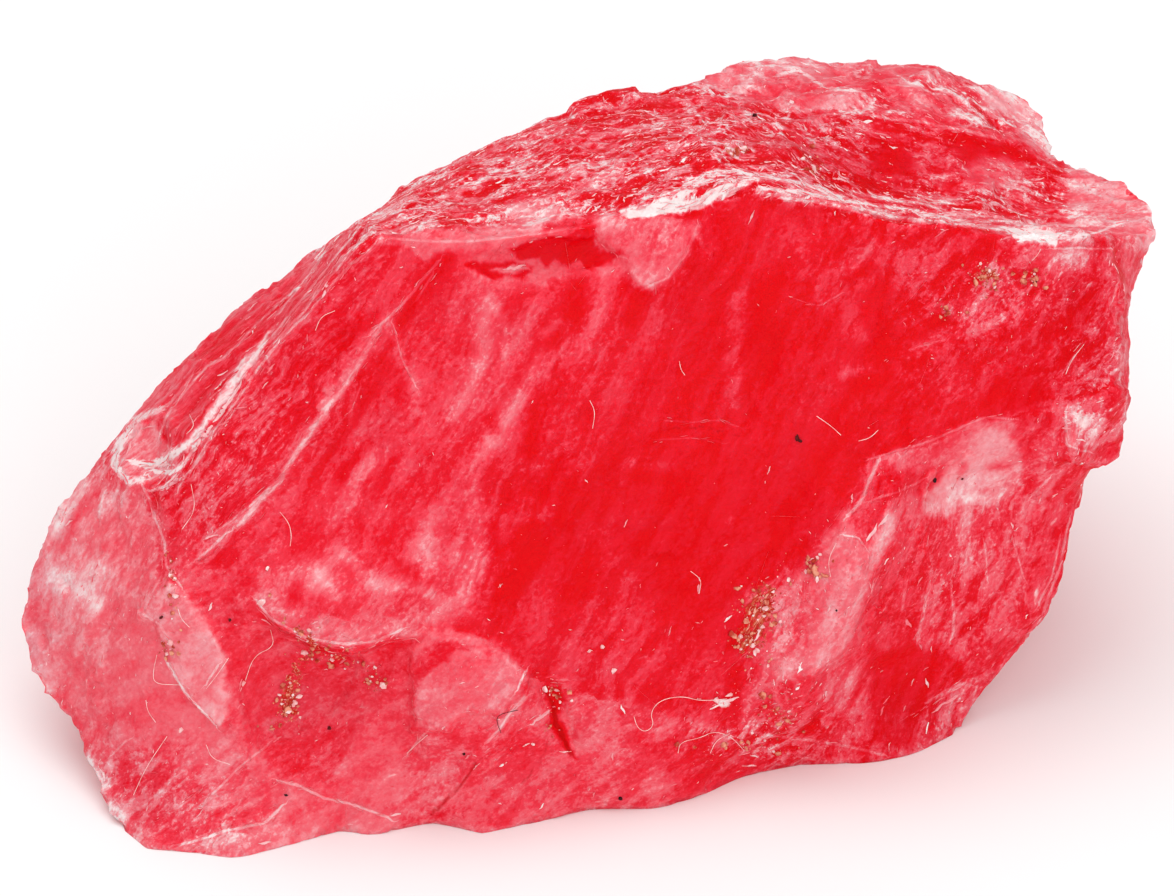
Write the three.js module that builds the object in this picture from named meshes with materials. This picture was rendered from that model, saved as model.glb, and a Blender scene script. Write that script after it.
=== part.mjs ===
// A rough lump of watermelon quartz, about 40 mm long: one broken piece of translucent red
// stone that lies on a flat break. Millimetres, +Z up, origin at the middle of its footprint.
//
// The lump is a shell of fracture faces. Each face is a patch stretched over its own rim of
// named corners, like a soap film, then blown out or sucked in by its bulge. Faces share the
// points of the edge between them, so the shell is closed. Relief is added at the end.
import * as THREE from "three";
import { ImprovedNoise } from "three/addons/math/ImprovedNoise.js";

// ---------- Driving dimensions ----------

const LEAN_DEG = 35; // the big front face is square to a line of sight this far above level
const CENTRE_HEIGHT = 9.35; // of the point [0, 0, 0] of the front frame, above the table
const GRAIN = 0.79; // spacing of the points that cover a face
const BASE_GRAIN = 2.4; // the same on the flat base, which nobody sees
const JITTER = 0.16; // how far a point strays from its place in the even pattern, in grains
const EDGE_MARGIN = 0.62; // closest that a face's own points come to its rim, in grains
const FILM_PASSES = 500; // rounds of smoothing that settle a face's film
const QUARTZ_RED = 0xd8142c;

const SIN = Math.sin(THREE.MathUtils.degToRad(LEAN_DEG));
const COS = Math.cos(THREE.MathUtils.degToRad(LEAN_DEG));

// ---------- Corners ----------

// A corner of the front frame: across to the right, up the front face, and out towards the
// one who looks at it.
const seen = ([across, up, out]) =>
  new THREE.Vector3(across, up * SIN - out * COS, up * COS + out * SIN + CENTRE_HEIGHT);

// A corner where the stone meets the table: how far out it lies follows from the table.
const onTable = ([across, up]) => seen([across, up, -(CENTRE_HEIGHT + up * COS) / SIN]);

// A corner of the hidden back, straight in the standing frame: right, back, above the table.
const standing = ([x, y, z]) => new THREE.Vector3(x, y, z);

const LINES = {
  // Top edge of the front face, left to right, from the left summit to the right shoulder.
  ridge: [seen, [
    [-7.4, 7.5, 7.0], [-5.5, 7.45, 7.3], [-3.2, 7.35, 7.3], [-0.9, 7.7, 7.1], [1.2, 8.3, 6.7],
    [3.4, 9.1, 6.2], [5.5, 9.55, 5.9], [7.2, 9.2, 6.1], [9.4, 8.5, 6.0], [11.9, 7.95, 5.7],
    [14.7, 7.65, 5.2], [16.9, 7.35, 4.5], [18.5, 7.6, 3.3],
  ]],
  // Left edge of the front face, running down from the left summit.
  crest: [seen, [
    [-7.4, 7.5, 7.0], [-8.8, 6.1, 6.7], [-10.5, 4.1, 6.3], [-12.3, 1.9, 5.8], [-14.0, -0.3, 5.2],
    [-15.1, -1.4, 4.6], [-14.9, -2.9, 4.9],
  ]],
  // Rib along the middle of the grooved band beside the crest.
  rail: [seen, [
    [-8.2, 7.2, 6.0], [-9.9, 5.3, 5.6], [-11.7, 3.3, 5.2], [-13.4, 1.4, 4.8], [-14.6, 0.2, 4.4],
  ]],
  // Outer edge of the grooved band, ending round the little cup.
  band: [seen, [
    [-7.9, 8.0, 4.4], [-9.2, 6.6, 3.8], [-10.9, 4.9, 3.5], [-12.9, 3.1, 3.1], [-14.8, 1.7, 2.8],
    [-16.1, 0.6, 2.5], [-16.6, -0.5, 2.6], [-16.0, -1.3, 3.4],
  ]],
  // Skyline, from the left end over the top to where the rear slab comes out.
  skyline: [seen, [
    [-17.4, -0.4, 0.8], [-16.0, 1.4, 0.6], [-14.4, 3.15, 0.4], [-12.6, 5.05, 0.2],
    [-10.3, 6.5, 0.0], [-9.15, 7.45, 0.6], [-7.2, 8.6, 0.2], [-6.5, 9.45, -1.0],
    [-4.6, 10.25, -1.6], [-3.1, 10.95, -2.0], [-1.0, 11.95, -2.6], [0.4, 12.6, -2.9],
    [2.0, 13.05, -3.3], [4.2, 13.4, -4.2],
  ]],
  // Far edge of the rear slab, left to right, then down its right end.
  slab: [seen, [
    [6.0, 14.05, -5.7], [8.6, 14.15, -6.3], [11.4, 13.95, -6.6], [13.7, 13.45, -6.8],
    [15.7, 12.9, -6.7], [16.75, 12.1, -6.3], [16.9, 11.0, -5.4],
  ]],
  // Near edge of the rear slab: the step down into the hollow behind the ridge.
  step: [seen, [
    [7.0, 12.1, -1.6], [9.2, 12.0, -0.9], [11.6, 11.8, -1.3], [13.7, 11.35, -1.8],
    [15.6, 10.85, -2.9], [17.1, 10.4, -4.2],
  ]],
  // Right end, from the shoulder down to the table.
  right: [seen, [
    [18.4, 9.85, -3.0], [19.6, 9.4, -1.8], [20.2, 8.7, -0.4], [20.3, 7.7, 0.8],
    [19.9, 6.6, 1.2], [19.25, 4.75, 1.5], [19.15, 3.4, 1.6], [19.15, 2.2, 1.6],
    [18.95, 1.05, 1.4], [18.7, -0.3, 1.0], [18.0, -0.4, 1.2], [17.6, -1.3, 0.7],
    [17.3, -3.0, 0.4], [16.95, -5.0, -0.2], [16.35, -6.2, -0.6], [15.05, -7.55, -1.2],
    [14.3, -8.65, -1.6],
  ]],
  // Right edge of the front face, above the notched block.
  edge: [seen, [[18.9, 5.6, 3.4], [18.75, 3.9, 3.3], [18.6, 2.15, 3.0]]],
  // The notched block that juts out of the right end: its two left corners.
  notch: [seen, [[17.1, 1.3, 3.5], [17.1, -0.25, 3.1]]],
  // Border between the front face and the low right face, from the block down to the left.
  fold: [seen, [
    [14.8, 1.0, 4.6], [12.4, 0.4, 5.2], [10.1, -0.4, 5.7], [9.8, -2.0, 5.6], [8.1, -4.0, 5.1],
    [6.4, -5.8, 4.6], [5.5, -8.2, 3.7], [5.3, -10.3, 2.4],
  ]],
  // Inner rib of the low right face, down to the table.
  rib: [seen, [[10.75, -1.8, 6.0], [9.2, -5.0, 5.2], [7.7, -8.5, 3.7]]],
  // Border between the front face and the low front face under it, right to left.
  sill: [seen, [[2.6, -9.2, 4.5], [0.5, -8.7, 5.0], [-1.5, -8.3, 5.3]]],
  // The groove that runs down from the sill's left end.
  groove: [seen, [[-1.0, -9.7, 4.7], [-0.55, -11.0, 3.9]]],
  // Shell-shaped plate: its right tip, then round its foot to the left.
  plate: [seen, [
    [-3.5, -6.85, 6.2], [-2.3, -8.1, 6.0], [-2.95, -9.5, 5.7], [-5.4, -9.95, 5.3],
    [-6.2, -8.65, 5.4],
  ]],
  // Crack from the plate's tip to the table.
  crack: [seen, [[-3.9, -11.1, 4.5]]],
  // Overhanging lip of the front face, left to right, and the line where it meets the floor.
  lip: [seen, [
    [-11.6, -5.5, 6.6], [-10.6, -6.3, 6.8], [-9.5, -6.9, 6.9], [-8.0, -7.15, 6.9],
    [-5.6, -6.5, 6.2],
  ]],
  under: [seen, [[-10.7, -6.6, 5.6], [-9.6, -7.25, 5.5], [-8.0, -7.5, 5.4]]],
  // Left and lower border of the floor under the lip.
  bench: [seen, [
    [-7.6, -9.5, 4.5], [-8.7, -11.3, 3.9], [-9.3, -12.35, 3.7], [-11.3, -11.7, 4.3],
  ]],
  // Wedge-shaped plate on the left: top, left corner, dent, foot, right side, right shoulder.
  wedge: [seen, [
    [-14.3, -4.4, 5.5], [-15.85, -5.6, 4.8], [-15.0, -6.5, 5.0], [-12.2, -10.6, 4.9],
    [-12.6, -7.2, 5.7], [-13.3, -5.25, 5.8],
  ]],
  // Fold above the toe, right to left.
  toe: [seen, [[-6.8, -13.2, 3.2], [-7.8, -12.8, 3.5], [-11.1, -13.2, 4.0], [-12.9, -13.75, 4.3]]],
  // Front of the footprint, right to left.
  foot: [onTable, [
    [13.15, -10.3], [11.7, -11.0], [10.1, -11.3], [7.6, -11.35], [5.5, -11.75], [4.0, -12.45],
    [2.5, -12.85], [0.1, -12.85], [-1.5, -13.25], [-3.7, -13.7], [-5.5, -13.3], [-7.6, -13.75],
    [-8.8, -13.6], [-10.6, -14.1], [-12.4, -14.55], [-13.8, -14.35], [-15.6, -14.2],
    [-16.4, -13.6],
  ]],
  // Left end, from the table up over the nose.
  left: [seen, [
    [-17.25, -12.6, 2.7], [-17.85, -11.4, 2.0], [-18.3, -10.25, 1.3], [-19.05, -9.25, 0.8],
    [-19.8, -8.3, 0.4], [-20.25, -7.3, 0.2], [-20.35, -5.9, 0.0], [-19.9, -4.7, 0.0],
    [-19.2, -3.1, 0.2], [-18.4, -1.7, 0.5],
  ]],
  // Back of the footprint, left to right.
  heel: [standing, [
    [-17.0, -7.5, 0], [-16.0, -3.5, 0], [-12.5, 1.5, 0], [-6.0, 6.0, 0], [1.0, 9.5, 0],
    [8.0, 10.5, 0], [13.0, 7.0, 0], [14.6, 1.5, 0], [13.9, -2.0, 0],
  ]],
  // Widest part of the back, left to right, between the skyline and the heel.
  waist: [standing, [
    [-17.6, 0.4, 6.2], [-11.5, 6.4, 8.4], [-4.4, 10.4, 7.6], [3.6, 13.8, 10.4],
    [10.8, 14.3, 7.6], [16.6, 9.9, 9.2], [18.3, 4.4, 7.0], [16.7, 0.0, 3.8],
  ]],
};

// ---------- Fracture faces ----------

// A rim names its corners anticlockwise as seen from outside: "ridge3" or a run "ridge3-0".
// bulge is how far the middle of the face stands proud of its film, or is hollowed if negative.
const FACES = [
  { rim: "ridge0 crest1-6 wedge0 wedge5 lip0-4 plate0-1 sill2-0 fold7-0 notch0 edge2-0 ridge12-1",
    bulge: 0.9 }, // the big front face
  { rim: "ridge0 rail0-4 crest4-1", bulge: -2.2 }, // flute beside the crest
  { rim: "ridge0 band0-4 rail4-0", bulge: -2.0 }, // flute outside the rib
  { rim: "rail4 band4-7 crest5-4", bulge: -0.9 }, // cup
  { rim: "band0 skyline5-0 band6-1", bulge: 0.25 }, // outer band
  { rim: "ridge0-7 step0 skyline13-5 band0", bulge: 0.7 }, // hackly top
  { rim: "ridge7-12 right3-0 step5-0", bulge: -1.7 }, // hollow behind the ridge
  { rim: "step0-5 slab6-0 skyline13", bulge: 0.6 }, // rear slab
  { rim: "edge0-2 right7-3 ridge12", bulge: 0.15 }, // narrow right strip
  { rim: "notch0-1 right10-7 edge2", bulge: 0.2 }, // notched block
  { rim: "fold0-2 rib0-2 foot3-0 right16-10 notch1 notch0", bulge: -0.5 }, // low right face
  { rim: "fold2-7 foot4-3 rib2-0", bulge: -0.25 }, // light band beside it
  { rim: "sill0-2 groove0-1 foot7-4 fold7", bulge: 0.35 }, // low front face
  { rim: "plate1-2 crack0 foot10-7 groove1-0 sill2", bulge: -0.3 }, // facet beside the groove
  { rim: "lip4 plate4-0", bulge: 0.45 }, // shell-shaped plate
  { rim: "plate4 bench0-2 toe1-0 foot10 crack0 plate2-3", bulge: -0.45 }, // facet under the plate
  { rim: "lip0 under0-2 lip4-1", bulge: 0 }, // riser under the lip
  { rim: "wedge5-3 bench3-0 plate4 lip4 under2-0 lip0", bulge: -0.9 }, // floor under the lip
  { rim: "wedge0-5", bulge: 0.15 }, // wedge-shaped plate
  { rim: "skyline0 left9-0 foot17-15 toe3-2 bench2-3 wedge3-0 crest6-5 band7-6",
    bulge: 0.5 }, // left face
  { rim: "foot15-10 toe0-1 bench2 toe2-3", bulge: 0.1 }, // toe
  { rim: "skyline0-4 waist1-0 left8-9", bulge: 0.5 }, // back, high left
  { rim: "left0-8 waist0 heel1-0 foot17", bulge: 0.5 }, // back, low left
  { rim: "skyline4-10 waist2-1", bulge: 0.6 }, // back, high middle left
  { rim: "skyline10-13 slab0-2 waist3-2", bulge: 0.5 }, // back, high middle right
  { rim: "slab2-6 step5 right0-3 waist5-3", bulge: 0.5 }, // back, high right
  { rim: "right3-11 waist6-5", bulge: 0.4 }, // right end, high
  { rim: "right11-16 foot0 heel8-7 waist7-6", bulge: 0.4 }, // right end, low
  { rim: "waist0-2 heel3-1", bulge: 0.4 }, // back, low left of the middle
  { rim: "waist2-4 heel5-3", bulge: 0.4 }, // back, low middle
  { rim: "waist4-6 heel7-5", bulge: 0.4 }, // back, low right
  { rim: "waist6-7 heel7", bulge: 0.1 }, // back, low right corner
  { rim: "foot0-17 heel0-8", bulge: 0, spacing: BASE_GRAIN }, // flat base
];

const CORNERS = new Map();
for (const [line, [place, list]] of Object.entries(LINES))
  list.forEach((corner, i) => CORNERS.set(line + i, place(corner)));

// The corner names that a rim runs through.
function namesOf(rim) {
  const names = [];
  for (const run of rim.split(" ")) {
    const [, line, first, last] = run.match(/^([a-z]+)(\d+)(?:-(\d+))?$/);
    const from = Number(first);
    const to = last === undefined ? from : Number(last);
    const turn = Math.sign(to - from) || 1;
    for (let i = from; i !== to + turn; i += turn) names.push(line + i);
  }
  return names;
}

// ---------- Shell ----------

const noise = new ImprovedNoise();
const points = []; // every point of the shell, shared by the faces that meet there
const triangles = []; // three point numbers each
const cornerPoint = new Map();
const edgePoints = new Map();

// The corners of two lines that share a place, such as ridge0 and crest0, are one point.
function pointAtCorner(name) {
  if (!cornerPoint.has(name)) {
    const place = CORNERS.get(name);
    const twin = [...cornerPoint.keys()].find((other) => CORNERS.get(other).equals(place));
    cornerPoint.set(name, twin ? cornerPoint.get(twin) : points.push(place.clone()) - 1);
  }
  return cornerPoint.get(name);
}

// The points from one corner to the next, without the last: the same for both faces there.
function pointsAlong(from, to) {
  const [a, b] = [pointAtCorner(from), pointAtCorner(to)];
  const key = Math.min(a, b) + " " + Math.max(a, b);
  if (!edgePoints.has(key)) {
    const [start, end] = [points[Math.min(a, b)], points[Math.max(a, b)]];
    const steps = Math.max(1, Math.round(start.distanceTo(end) / GRAIN));
    const inner = [];
    for (let i = 1; i < steps; i++)
      inner.push(points.push(start.clone().lerp(end, i / steps)) - 1);
    edgePoints.set(key, inner);
  }
  const inner = edgePoints.get(key);
  return [a, ...(a < b ? inner : [...inner].reverse())];
}

// A flat frame that a rim is laid out in: x and y in the plane, z out of the stone.
function planeOf(rim) {
  const centre = new THREE.Vector3();
  const normal = new THREE.Vector3();
  rim.forEach((p) => centre.addScaledVector(p, 1 / rim.length));
  rim.forEach((p, i) => {
    const next = rim[(i + 1) % rim.length];
    normal.add(p.clone().sub(centre).cross(next.clone().sub(centre)));
  });
  const area = normal.length() / 2;
  normal.normalize();
  const side = new THREE.Vector3(0, 0, 1).cross(normal);
  if (side.lengthSq() < 1e-6) side.set(1, 0, 0);
  side.normalize();
  const frame = new THREE.Matrix4().makeBasis(side, normal.clone().cross(side), normal);
  return { area, frame: frame.setPosition(centre) };
}

function inside(x, y, outline) {
  let odd = false;
  outline.forEach((a, i) => {
    const b = outline[(i + 1) % outline.length];
    if (a.y > y !== b.y > y && x < a.x + ((y - a.y) / (b.y - a.y)) * (b.x - a.x)) odd = !odd;
  });
  return odd;
}

function clearOf(x, y, outline, gap) {
  return outline.every((a, i) => {
    const b = outline[(i + 1) % outline.length];
    const [dx, dy] = [b.x - a.x, b.y - a.y];
    const along = ((x - a.x) * dx + (y - a.y) * dy) / (dx * dx + dy * dy);
    const t = THREE.MathUtils.clamp(along, 0, 1);
    return Math.hypot(x - a.x - t * dx, y - a.y - t * dy) > gap;
  });
}

// Points in a honeycomb pattern, a little off their places, that cover the inside of a face.
function honeycomb(outline, spacing) {
  const found = [];
  const box = new THREE.Box2().setFromPoints(outline.map((p) => new THREE.Vector2(p.x, p.y)));
  const rise = spacing * Math.sqrt(0.75);
  for (let row = 0; box.min.y + row * rise < box.max.y; row++)
    for (let column = 0; box.min.x + column * spacing < box.max.x; column++) {
      const stray = JITTER * spacing;
      const x = box.min.x + (column + (row % 2) / 2) * spacing +
        stray * noise.noise(column * 1.7, row * 1.3, 5.1);
      const y = box.min.y + row * rise + stray * noise.noise(column * 1.3, row * 1.9, 9.4);
      if (inside(x, y, outline) && clearOf(x, y, outline, EDGE_MARGIN * Math.min(spacing, GRAIN)))
        found.push(new THREE.Vector3(x, y, 0));
    }
  return found;
}

// Delaunay triangles of flat points, anticlockwise, found by adding one point at a time.
function delaunay(flat) {
  const far = 1e4;
  const all = [...flat, { x: -far, y: -far }, { x: far, y: -far }, { x: 0, y: far }];
  const withCircle = (a, b, c) => {
    const [p, q, r] = [all[a], all[b], all[c]];
    const [qx, qy, rx, ry] = [q.x - p.x, q.y - p.y, r.x - p.x, r.y - p.y];
    const cross = 2 * (qx * ry - qy * rx);
    const [qq, rr] = [qx * qx + qy * qy, rx * rx + ry * ry];
    const [ux, uy] = [(ry * qq - qy * rr) / cross, (qx * rr - rx * qq) / cross];
    return { corners: [a, b, c], x: p.x + ux, y: p.y + uy, reach: ux * ux + uy * uy };
  };
  let mesh = [withCircle(flat.length, flat.length + 1, flat.length + 2)];
  flat.forEach((p, i) => {
    const hit = (t) => (p.x - t.x) ** 2 + (p.y - t.y) ** 2 < t.reach;
    const rim = new Map();
    for (const t of mesh.filter(hit))
      t.corners.forEach((a, k) => {
        const b = t.corners[(k + 1) % 3];
        if (!rim.delete(b + " " + a)) rim.set(a + " " + b, [a, b]);
      });
    mesh = mesh.filter((t) => !hit(t));
    for (const [a, b] of rim.values()) mesh.push(withCircle(a, b, i));
  });
  return mesh.map((t) => t.corners).filter((corners) => corners.every((c) => c < flat.length));
}

// Lets the heights of a face's own points settle between those of its rim.
function settleFilm(flat, fixed, mesh, lift) {
  const neighbours = flat.map(() => new Set());
  for (const corners of mesh)
    corners.forEach((a, k) => {
      neighbours[a].add(corners[(k + 1) % 3]);
      neighbours[a].add(corners[(k + 2) % 3]);
    });
  for (let pass = 0; pass < FILM_PASSES; pass++)
    for (let i = fixed; i < flat.length; i++) {
      let sum = 0;
      for (const n of neighbours[i]) sum += flat[n].z;
      flat[i].z = sum / neighbours[i].size + lift;
    }
}

function addFace({ rim, bulge, spacing = GRAIN }) {
  const names = namesOf(rim);
  const loop = names.flatMap((name, i) => pointsAlong(name, names[(i + 1) % names.length]));
  const { area, frame } = planeOf(loop.map((i) => points[i]));
  const toFlat = frame.clone().invert();
  const outline = loop.map((i) => points[i].clone().applyMatrix4(toFlat));
  const flat = [...outline, ...honeycomb(outline, spacing)];
  const mesh = delaunay(flat).filter((corners) => {
    const [a, b, c] = corners.map((i) => flat[i]);
    return inside((a.x + b.x + c.x) / 3, (a.y + b.y + c.y) / 3, outline);
  });
  // A disc's film under an even push rises by push * radius² / spacing² in the middle.
  settleFilm(flat, outline.length, mesh, (bulge * spacing ** 2 * Math.PI) / area);
  const numbers = flat.map((p, i) =>
    i < loop.length ? loop[i] : points.push(p.clone().applyMatrix4(frame)) - 1);
  for (const corners of mesh) triangles.push(...corners.map((i) => numbers[i]));
}

// ---------- Relief ----------

const FRONT = seen([0, 0, 1]).sub(seen([0, 0, 0])); // out of the front face
const CELL_REACH = [-1, 0, 1];

// A steady pick between 0 and 1 for a cell of a grid.
function pick(i, j, k, channel) {
  const wave = Math.sin(i * 127.1 + j * 311.7 + k * 74.7 + channel * 53.3) * 43758.5453;
  return wave - Math.floor(wave);
}

// Conchoidal break: smooth hollows that meet in sharp ridges. 0 in a hollow's middle, about 1
// on the ridges. The position is given in cells, one hollow to a cell.
function scallops(x, y, z) {
  let nearest = Infinity;
  for (const di of CELL_REACH)
    for (const dj of CELL_REACH)
      for (const dk of CELL_REACH) {
        const [i, j, k] = [Math.floor(x) + di, Math.floor(y) + dj, Math.floor(z) + dk];
        const away = [i + pick(i, j, k, 1) - x, j + pick(i, j, k, 2) - y, k + pick(i, j, k, 3) - z];
        nearest = Math.min(nearest, away[0] ** 2 + away[1] ** 2 + away[2] ** 2);
      }
  return Math.sqrt(nearest);
}

const smooth = THREE.MathUtils.smoothstep;
const upFront = (p) => p.y * SIN + (p.z - CENTRE_HEIGHT) * COS;

// Long shallow flutes that run down the front face from upper right to lower left.
const FLUTE = { runDeg: 60, length: 13, width: 3.1, depth: 0.42 };
function flutes(p, facing) {
  const angle = THREE.MathUtils.degToRad(FLUTE.runDeg);
  const sway = 1.2 * noise.noise(p.x / 7, upFront(p) / 7, 2.2);
  const along = p.x * Math.cos(angle) + upFront(p) * Math.sin(angle);
  const beside = p.x * Math.sin(angle) - upFront(p) * Math.cos(angle) + sway;
  const share = smooth(facing, 0.7, 0.95);
  return FLUTE.depth * share * (scallops(along / FLUTE.length, beside / FLUTE.width, 0.5) - 0.5);
}

// Sharp little peaks and pits where the top broke through its grain.
const HACKLE = { size: 2.3, height: 0.55, from: 4, to: 8 };
function hackle(p, normal) {
  const share = smooth(upFront(p), HACKLE.from, HACKLE.to) * smooth(normal.z, 0.35, 0.8);
  const across = (p.x + 0.8 * p.y) / (1.6 * HACKLE.size); // the grain runs slantwise to the back
  const along = (p.y - 0.6 * p.x) / HACKLE.size;
  return HACKLE.height * share * (scallops(across, along, p.z / HACKLE.size) - 0.5);
}

// Broad hollows all over, where chips came off, and deeper on the back.
const HOLLOW = { size: 6.5, depth: 0.5, backDepth: 1.1 };
function hollows(p, facing) {
  const depth = THREE.MathUtils.lerp(HOLLOW.depth, HOLLOW.backDepth, smooth(-facing, 0.1, 0.6));
  return depth * (scallops(p.x / HOLLOW.size, p.y / HOLLOW.size, p.z / HOLLOW.size) - 0.5);
}

// Single swells and dents of the front: where, half their length and width, how their length
// is turned from level, and how far they stand out or are sunk.
const SWELLS = [
  { across: -1.0, up: 6.5, long: 2.4, wide: 0.9, turnDeg: 0, height: -0.75 }, // under the ridge
  { across: 2.7, up: 6.6, long: 1.5, wide: 1.3, turnDeg: 60, height: 0.4 }, // hanging chip
  { across: -10.4, up: 0.4, long: 6.0, wide: 0.75, turnDeg: 52, height: 0.45 }, // second crest
  { across: -7.9, up: -4.9, long: 3.2, wide: 1.5, turnDeg: 12, height: 0.5 }, // lobe over the lip
  { across: 4.6, up: 1.4, long: 3.0, wide: 2.2, turnDeg: 0, height: -0.35 }, // shell-shaped dent
  { across: 13.6, up: -1.5, long: 1.9, wide: 0.9, turnDeg: 5, height: -0.5 }, // under the block
];
function swells(p, facing) {
  let height = 0;
  for (const swell of SWELLS) {
    const turn = THREE.MathUtils.degToRad(swell.turnDeg);
    const [dx, dy] = [p.x - swell.across, upFront(p) - swell.up];
    const along = (dx * Math.cos(turn) + dy * Math.sin(turn)) / swell.long;
    const beside = (dy * Math.cos(turn) - dx * Math.sin(turn)) / swell.wide;
    height += swell.height * Math.exp(-(along ** 4) - beside ** 2);
  }
  return height * smooth(facing, 0.2, 0.6);
}

const FINE = { size: 1.7, height: 0.1 };
const fine = (p) => FINE.height * noise.noise(p.x / FINE.size, p.y / FINE.size, p.z / FINE.size);

function relief(p, normal) {
  const facing = normal.dot(FRONT);
  return hollows(p, facing) + swells(p, facing) + flutes(p, facing) + hackle(p, normal) + fine(p);
}

// ---------- The stone ----------

function stoneGeometry() {
  FACES.forEach(addFace);
  const geometry = new THREE.BufferGeometry().setFromPoints(points);
  geometry.setIndex(triangles);
  geometry.computeVertexNormals();
  const normals = geometry.getAttribute("normal");
  const moved = points.map((p, i) => {
    const normal = new THREE.Vector3().fromBufferAttribute(normals, i);
    const onBase = p.z < 1e-6;
    const place = onBase ? p.clone() : p.clone().addScaledVector(normal, relief(p, normal));
    return place.setZ(Math.max(place.z, 0));
  });
  geometry.setFromPoints(moved);
  geometry.computeBoundingBox();
  const middle = geometry.boundingBox.getCenter(new THREE.Vector3());
  geometry.translate(-middle.x, -middle.y, 0);
  return geometry;
}

const quartz = new THREE.MeshStandardMaterial({
  color: QUARTZ_RED,
  roughness: 0.35,
  metalness: 0,
  flatShading: true,
});

const stone = new THREE.Mesh(stoneGeometry(), quartz);
stone.name = "quartz_stone";

const lump = new THREE.Group();
lump.add(stone);
export default lump;
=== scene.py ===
"""Watermelon quartz on a pale floor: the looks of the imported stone, in metres.

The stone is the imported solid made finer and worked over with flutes, hackle and chipped edges.
Zones and marks are placed in the front frame, which faces the big front break: millimetres
across to the right, up the break and out of it, from a point in the middle of the stone.
"""

import math

import bmesh
import bpy
import numpy as np
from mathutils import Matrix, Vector, noise
from mathutils.bvhtree import BVHTree


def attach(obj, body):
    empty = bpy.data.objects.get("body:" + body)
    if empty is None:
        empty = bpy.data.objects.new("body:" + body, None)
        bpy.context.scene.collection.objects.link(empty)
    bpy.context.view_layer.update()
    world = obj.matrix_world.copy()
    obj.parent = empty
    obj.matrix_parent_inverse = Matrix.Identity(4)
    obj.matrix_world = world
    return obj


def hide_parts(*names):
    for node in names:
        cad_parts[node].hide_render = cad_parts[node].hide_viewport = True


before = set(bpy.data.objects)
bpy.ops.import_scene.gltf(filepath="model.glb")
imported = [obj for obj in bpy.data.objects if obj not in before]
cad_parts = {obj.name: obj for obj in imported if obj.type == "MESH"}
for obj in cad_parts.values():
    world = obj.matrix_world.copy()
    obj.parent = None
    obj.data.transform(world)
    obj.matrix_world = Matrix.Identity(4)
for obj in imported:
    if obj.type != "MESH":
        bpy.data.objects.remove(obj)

MM = 0.001
NODE = "quartz_stone"
FAR = 1e9  # millimetres: further than anything

# ---------- The front frame ----------

LEAN = math.radians(35)
MIDDLE = np.array([-0.013, -1.084, 9.35])  # the front frame's zero, in millimetres
ACROSS = np.array([1.0, 0.0, 0.0])
UP = np.array([0.0, math.sin(LEAN), math.cos(LEAN)])
OUT = np.array([0.0, -math.cos(LEAN), math.sin(LEAN)])
AXES = np.array([ACROSS, UP, OUT])
CAMERA_AWAY = 420.0  # the camera's distance from the middle, in millimetres


def to_front(points):
    """Points in metres as front-frame millimetres."""
    return (points / MM - MIDDLE) @ AXES.T


def seen(front):
    """Front-frame points where the camera sees them on the plane through the middle."""
    nearness = CAMERA_AWAY / (CAMERA_AWAY - front[:, 2])
    return front * np.stack([nearness, nearness, np.ones(len(front))], axis=1)


def from_front(points):
    """Front-frame millimetres as points in metres."""
    return (np.asarray(points, float) @ AXES + MIDDLE) * MM


def direction(turn_deg):
    """The way in the front's plane at that turn from level."""
    turn = math.radians(turn_deg)
    return Vector(ACROSS * math.cos(turn) + UP * math.sin(turn))


# ---------- Fields over points ----------

FINER = 2.1  # how much finer each octave of a noise is than the last
CELL_SPREAD = 7.3  # takes the middles of two cells to different random tilts


def smooth(x, low, high):
    """0 below low, 1 above high, and smooth between them."""
    t = np.clip((x - low) / (high - low), 0, 1)
    return t * t * (3 - 2 * t)


def fbm(points, octaves=3):
    """Cloudy noise about -1 to 1, with bumps one unit across."""
    return np.array([noise.fractal(p, 0.9, FINER, octaves) for p in map(Vector, points)])


def ridged(points, octaves=3):
    """Noise from 0 in the hollows to about 1 on sharp ridges."""
    values = [noise.ridged_multi_fractal(p, 1.0, FINER, octaves, 1.0, 2.0) for p in map(Vector, points)]
    return np.clip(np.array(values) / 2, 0, 1.2)


def scallops(points):
    """Conchoidal hollows: 0 in each hollow's middle, about 1 on the ridges between them."""
    return np.array([noise.voronoi(p)[0][0] for p in map(Vector, points)])


def facets(points):
    """Broken planes: in each cell a plane tilted its own way, about -0.5 to 0.5."""
    heights = []
    for p in map(Vector, points):
        middle = noise.voronoi(p)[1][0]
        tilt = noise.cell_vector(middle * CELL_SPREAD) - Vector((0.5, 0.5, 0.5))
        heights.append((p - middle).dot(tilt) * 2)
    return np.array(heights)


def wandering(points, size, *seeds):
    """Noise vectors for the points, bumps of that size, with one noise for each of the first axes."""
    noises = [fbm(points / size + seed) for seed in seeds]
    return np.stack(noises + [np.zeros(len(points))] * (3 - len(seeds)), axis=1)


def along_grain(front, turn_deg, long, wide, deep):
    """Front-frame points in cells that are long in one direction of the front's plane."""
    turn = math.radians(turn_deg)
    along = front[:, 0] * math.cos(turn) + front[:, 1] * math.sin(turn)
    beside = front[:, 0] * math.sin(turn) - front[:, 1] * math.cos(turn)
    return np.stack([along / long, beside / wide, front[:, 2] / deep], axis=1)


def from_stretch(front, start, end):
    """Each point's distance from a stretch of line, and which side of it the point is on."""
    start, step = np.array(start), np.array(end) - start
    away = front[:, :2] - start
    side = np.sign(step[0] * away[:, 1] - step[1] * away[:, 0])
    t = np.clip(away @ step / (step @ step), 0, 1)
    away = away - t[:, None] * step
    return np.hypot(away[:, 0], away[:, 1]), side


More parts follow.
